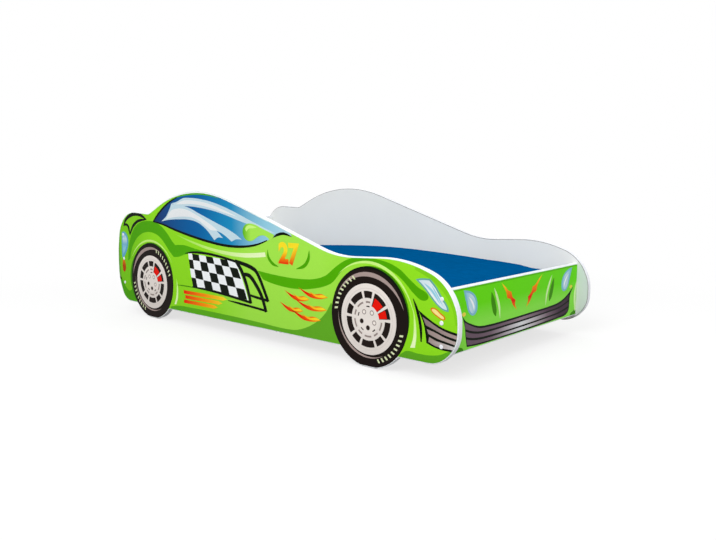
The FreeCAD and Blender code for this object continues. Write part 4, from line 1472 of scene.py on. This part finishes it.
class CARBED_OT_mattress(bpy.types.Operator):
    """Makes the padded mattress with its woven cover and piping"""

    bl_idname = "carbed.mattress"
    bl_label = "Mattress"
    covers = ("mattress_top_cover", "mattress_bottom_cover", "mattress_core")
    mesh_loss = 0.008
    edge_round = 0.008
    resting_depth = 0.02
    stuffing_steps = 20
    stuffing_pressure = 4.0
    end_start = 0.76
    end_run = 0.14
    end_droop = 0.32
    mean_height = 0.3
    crest_shift = 0.06
    piping_stand = 0.0008
    piping_reach = 0.0005

    def execute(self, context):
        settings = context.scene.car_bed
        boxes = [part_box(name) for name in self.covers[:2]]
        low = Vector(min(box[0][i] for box in boxes) for i in range(3))
        high = Vector(max(box[1][i] for box in boxes) for i in range(3))
        pad = self.block(low, high, settings.sizes)
        self.pull_in(pad, low, high, settings.sizes)
        self.stuff(pad, low, settings.sizes)
        self.smooth(pad)
        finishes = plain(settings.finishes)
        cloth = weave_material("mattress_cloth", finishes.cloth, 0.0022, 0.00035)
        use_material(pad, cloth)
        settle(pad, "mattress_pad", "mattress")
        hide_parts(*self.covers)
        seam = weave_material("piping_cloth", finishes.piping, 0.0016, 0.0003)
        self.pipe(pad, low, high, settings.sizes, seam)
        return {"FINISHED"}

    def block(self, low, high, sizes):
        """A rounded block in an even mesh, wider by what meshing and smoothing take off its sides."""
        top = high.z - sizes.crown
        size = Vector((high.x - low.x + self.mesh_loss, high.y - low.y + self.mesh_loss, top - low.z))
        middle = Vector(((low.x + high.x) / 2, (low.y + high.y) / 2, (low.z + top) / 2))
        deselect_all()
        bpy.ops.mesh.primitive_cube_add(size=1, location=middle)
        pad = bpy.context.object
        pad.scale = size
        bpy.ops.object.transform_apply(location=True, rotation=True, scale=True)
        self.bevel(pad, sizes.corner, 8, lambda a, b: abs(a.z - b.z) > size.z / 2)
        self.bevel(pad, self.edge_round, 4, lambda a, b: abs(a.z - b.z) < MM)
        remesh = pad.modifiers.new("even mesh", "REMESH")
        remesh.mode = "VOXEL"
        remesh.voxel_size = sizes.voxel
        bpy.ops.object.modifier_apply(modifier=remesh.name)
        return pad

    def bevel(self, pad, offset, segments, wanted):
        """Rounds the edges whose two ends pass the test."""
        pick(pad)
        for edge in pad.data.edges:
            ends = [pad.data.vertices[i].co for i in edge.vertices]
            edge.select = wanted(*ends)
        for part in (pad.data.polygons, pad.data.vertices):
            for item in part:
                item.select = False
        for edge in pad.data.edges:
            if edge.select:
                for i in edge.vertices:
                    pad.data.vertices[i].select = True
        bpy.ops.object.mode_set(mode="EDIT")
        bpy.ops.mesh.select_mode(type="EDGE")
        bpy.ops.mesh.bevel(offset=offset, segments=segments, affect="EDGES")
        bpy.ops.object.mode_set(mode="OBJECT")

    def pull_in(self, pad, low, high, sizes):
        """Draws the sides in between the corners and raises the crown."""
        middle = (low + high) / 2
        half = (high - low) / 2
        waist = (low.z + high.z) / 2
        for vertex in pad.data.vertices:
            u = (vertex.co.x - middle.x) / half.x
            v = (vertex.co.y - middle.y) / half.y
            vertex.co.x -= sizes.draw_in * u**5 * max(0.0, 1 - v * v)
            vertex.co.y -= sizes.draw_in * v**5 * max(0.0, 1 - u * u)
            lift = max(0.0, (vertex.co.z - waist) / (high.z - waist))
            vertex.co.z += sizes.crown * lift * max(0.0, 1 - u**4) * max(0.0, 1 - v**4)
            vertex.co.z += lift * self.bow(u, sizes)

    def bow(self, u, sizes):
        """How far the top lies above its mean height, u of the way from the middle to an end."""
        end = min(1.0, max(0.0, abs(u) - self.end_start) / self.end_run)
        droop = self.end_droop * end * end * (3 - 2 * end)
        return sizes.arch * (self.mean_height - droop - math.sin(math.pi / 2 * (u - self.crest_shift)) ** 2)

    def stuff(self, pad, low, sizes):
        """Swells the cover with a short cloth simulation, its underside held where it rests."""
        rest = [vertex.co.copy() for vertex in pad.data.vertices]
        held = pad.vertex_groups.new(name="resting")
        held.add([i for i, co in enumerate(rest) if co.z < low.z + self.resting_depth], 1.0, "REPLACE")
        pick(pad)
        bpy.ops.object.modifier_add(type="CLOTH")
        cloth = pad.modifiers[-1]
        cloth.settings.quality = 5
        cloth.settings.mass = 0.3
        cloth.settings.use_pressure = True
        cloth.settings.uniform_pressure_force = self.stuffing_pressure
        cloth.settings.vertex_group_mass = held.name
        cloth.settings.effector_weights.gravity = 0.0
        cloth.point_cache.frame_start = 1
        cloth.point_cache.frame_end = self.stuffing_steps
        for step in range(1, self.stuffing_steps + 1):
            bpy.context.scene.frame_set(step)
        swollen = pad.evaluated_get(bpy.context.evaluated_depsgraph_get()).to_mesh()
        moved = [vertex.co.copy() for vertex in swollen.vertices]
        pad.modifiers.remove(cloth)
        bpy.context.scene.frame_set(1)
        for vertex, start, end in zip(pad.data.vertices, rest, moved):
            shift = end - start
            if shift.length > sizes.swell:
                shift *= sizes.swell / shift.length
            vertex.co = start + shift
        pad.vertex_groups.clear()

    def smooth(self, pad):
        """One subdivision, smooth shaded."""
        pick(pad)
        finer = pad.modifiers.new("finer", "SUBSURF")
        finer.levels = 1
        finer.render_levels = 1
        bpy.ops.object.modifier_apply(modifier=finer.name)
        bpy.ops.object.shade_smooth()

    def pipe(self, pad, low, high, sizes, cloth):
        """Two runs of piping, along the upper and lower edges of the cover."""
        bpy.context.view_layer.update()
        middle = (low + high) / 2
        half = (high - low) / 2
        runs = []
        seam_low, seam_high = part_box("mattress_piping")
        for height in (seam_low.z + sizes.piping, seam_high.z - sizes.piping):
            deselect_all()
            bpy.ops.curve.primitive_bezier_circle_add()
            run = bpy.context.object
            curve = run.data
            curve.splines.clear()
            spline = curve.splines.new("BEZIER")
            spots = self.piping_points(middle, half, sizes, height)
            if height > middle.z:
                for spot in spots:
                    spot.z += self.bow((spot.x - middle.x) / half.x, sizes)
            spots = [self.on_cover(pad, spot) for spot in spots]
            spline.bezier_points.add(len(spots) - 1)
            spline.use_cyclic_u = True
            for point, spot in zip(spline.bezier_points, spots):
                point.co = spot
                point.handle_left_type = point.handle_right_type = "AUTO"
            curve.dimensions = "3D"
            curve.resolution_u = 6
            curve.bevel_depth = sizes.piping
            curve.bevel_resolution = 3
            bpy.ops.object.convert(target="MESH")
            runs.append(bpy.context.object)
        pick(*runs)
        bpy.ops.object.join()
        piping = bpy.context.object
        bpy.ops.object.shade_smooth()
        use_material(piping, cloth)
        settle(piping, "mattress_edge_piping", "mattress")
        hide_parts("mattress_piping")

    def on_cover(self, pad, spot):
        """The point of the cover nearest to a spot, raised so that the piping is half sunk in it."""
        _, place, normal, _ = pad.closest_point_on_mesh(spot)
        return place + normal * self.piping_stand

    def piping_points(self, middle, half, sizes, height):
        """Points round the mattress's edge: each corner's arc, then along the drawn-in side."""
        reach = (half.x + self.piping_reach, half.y + self.piping_reach)
        radius = sizes.corner
        points = []
        for corner, (way_x, way_y) in enumerate(((1, 1), (-1, 1), (-1, -1), (1, -1))):
            centre = Vector((middle.x + way_x * (reach[0] - radius), way_y * (reach[1] - radius), height))
            for step in range(5):
                turn = math.radians(90 * corner + 22.5 * step)
                points.append(centre + Vector((math.cos(turn), math.sin(turn), 0)) * radius)
            for share in (0.08, 0.2, 0.35, 0.5, 0.65, 0.8, 0.92):
                points.append(self.side_point(middle, reach, sizes, corner, share, height))
        return points

    def side_point(self, middle, reach, sizes, corner, share, height):
        """A point on the drawn-in side that follows a corner."""
        pull = sizes.draw_in * 4 * share * (1 - share)
        along = 1 - 2 * share
        if corner % 2 == 0:
            way = 1 if corner == 0 else -1
            run = way * along * (reach[0] - sizes.corner)
            return Vector((middle.x + run, way * (reach[1] - pull), height))
        way = -1 if corner == 1 else 1
        run = -way * along * (reach[1] - sizes.corner)
        return Vector((middle.x + way * (reach[0] - pull), run, height))


class CARBED_PT_panel(bpy.types.Panel):
    """Lists the steps that dress the bed"""

    bl_idname = "CARBED_PT_panel"
    bl_label = "Car bed"
    bl_space_type = "VIEW_3D"
    bl_region_type = "UI"
    bl_category = "Car bed"

    def draw(self, context):
        for step in STEPS:
            self.layout.operator(step.bl_idname, text=step.bl_label)


STEPS = (
    CARBED_OT_stage,
    CARBED_OT_boards,
    CARBED_OT_base,
    CARBED_OT_hardware,
    CARBED_OT_bodywork,
    CARBED_OT_shading,
    CARBED_OT_glass,
    CARBED_OT_wheels,
    CARBED_OT_flag,
    CARBED_OT_lamps,
    CARBED_OT_racing,
    CARBED_OT_front,
    CARBED_OT_rear,
    CARBED_OT_mattress,
)
GROUPS = (PrintInks, BedFinishes, BedSizes, StudioSettings, BedSettings)


def register():
    for item in (*GROUPS, *STEPS, CARBED_PT_panel):
        bpy.utils.register_class(item)
    bpy.types.Scene.car_bed = bpy.props.PointerProperty(type=BedSettings)


def unregister():
    del bpy.types.Scene.car_bed
    for item in reversed((*GROUPS, *STEPS, CARBED_PT_panel)):
        bpy.utils.unregister_class(item)


def main():
    """Dresses the bed step by step."""
    register()
    for step in STEPS:
        group, name = step.bl_idname.split(".")
        getattr(getattr(bpy.ops, group), name)()


if __name__ == "__main__":
    main()
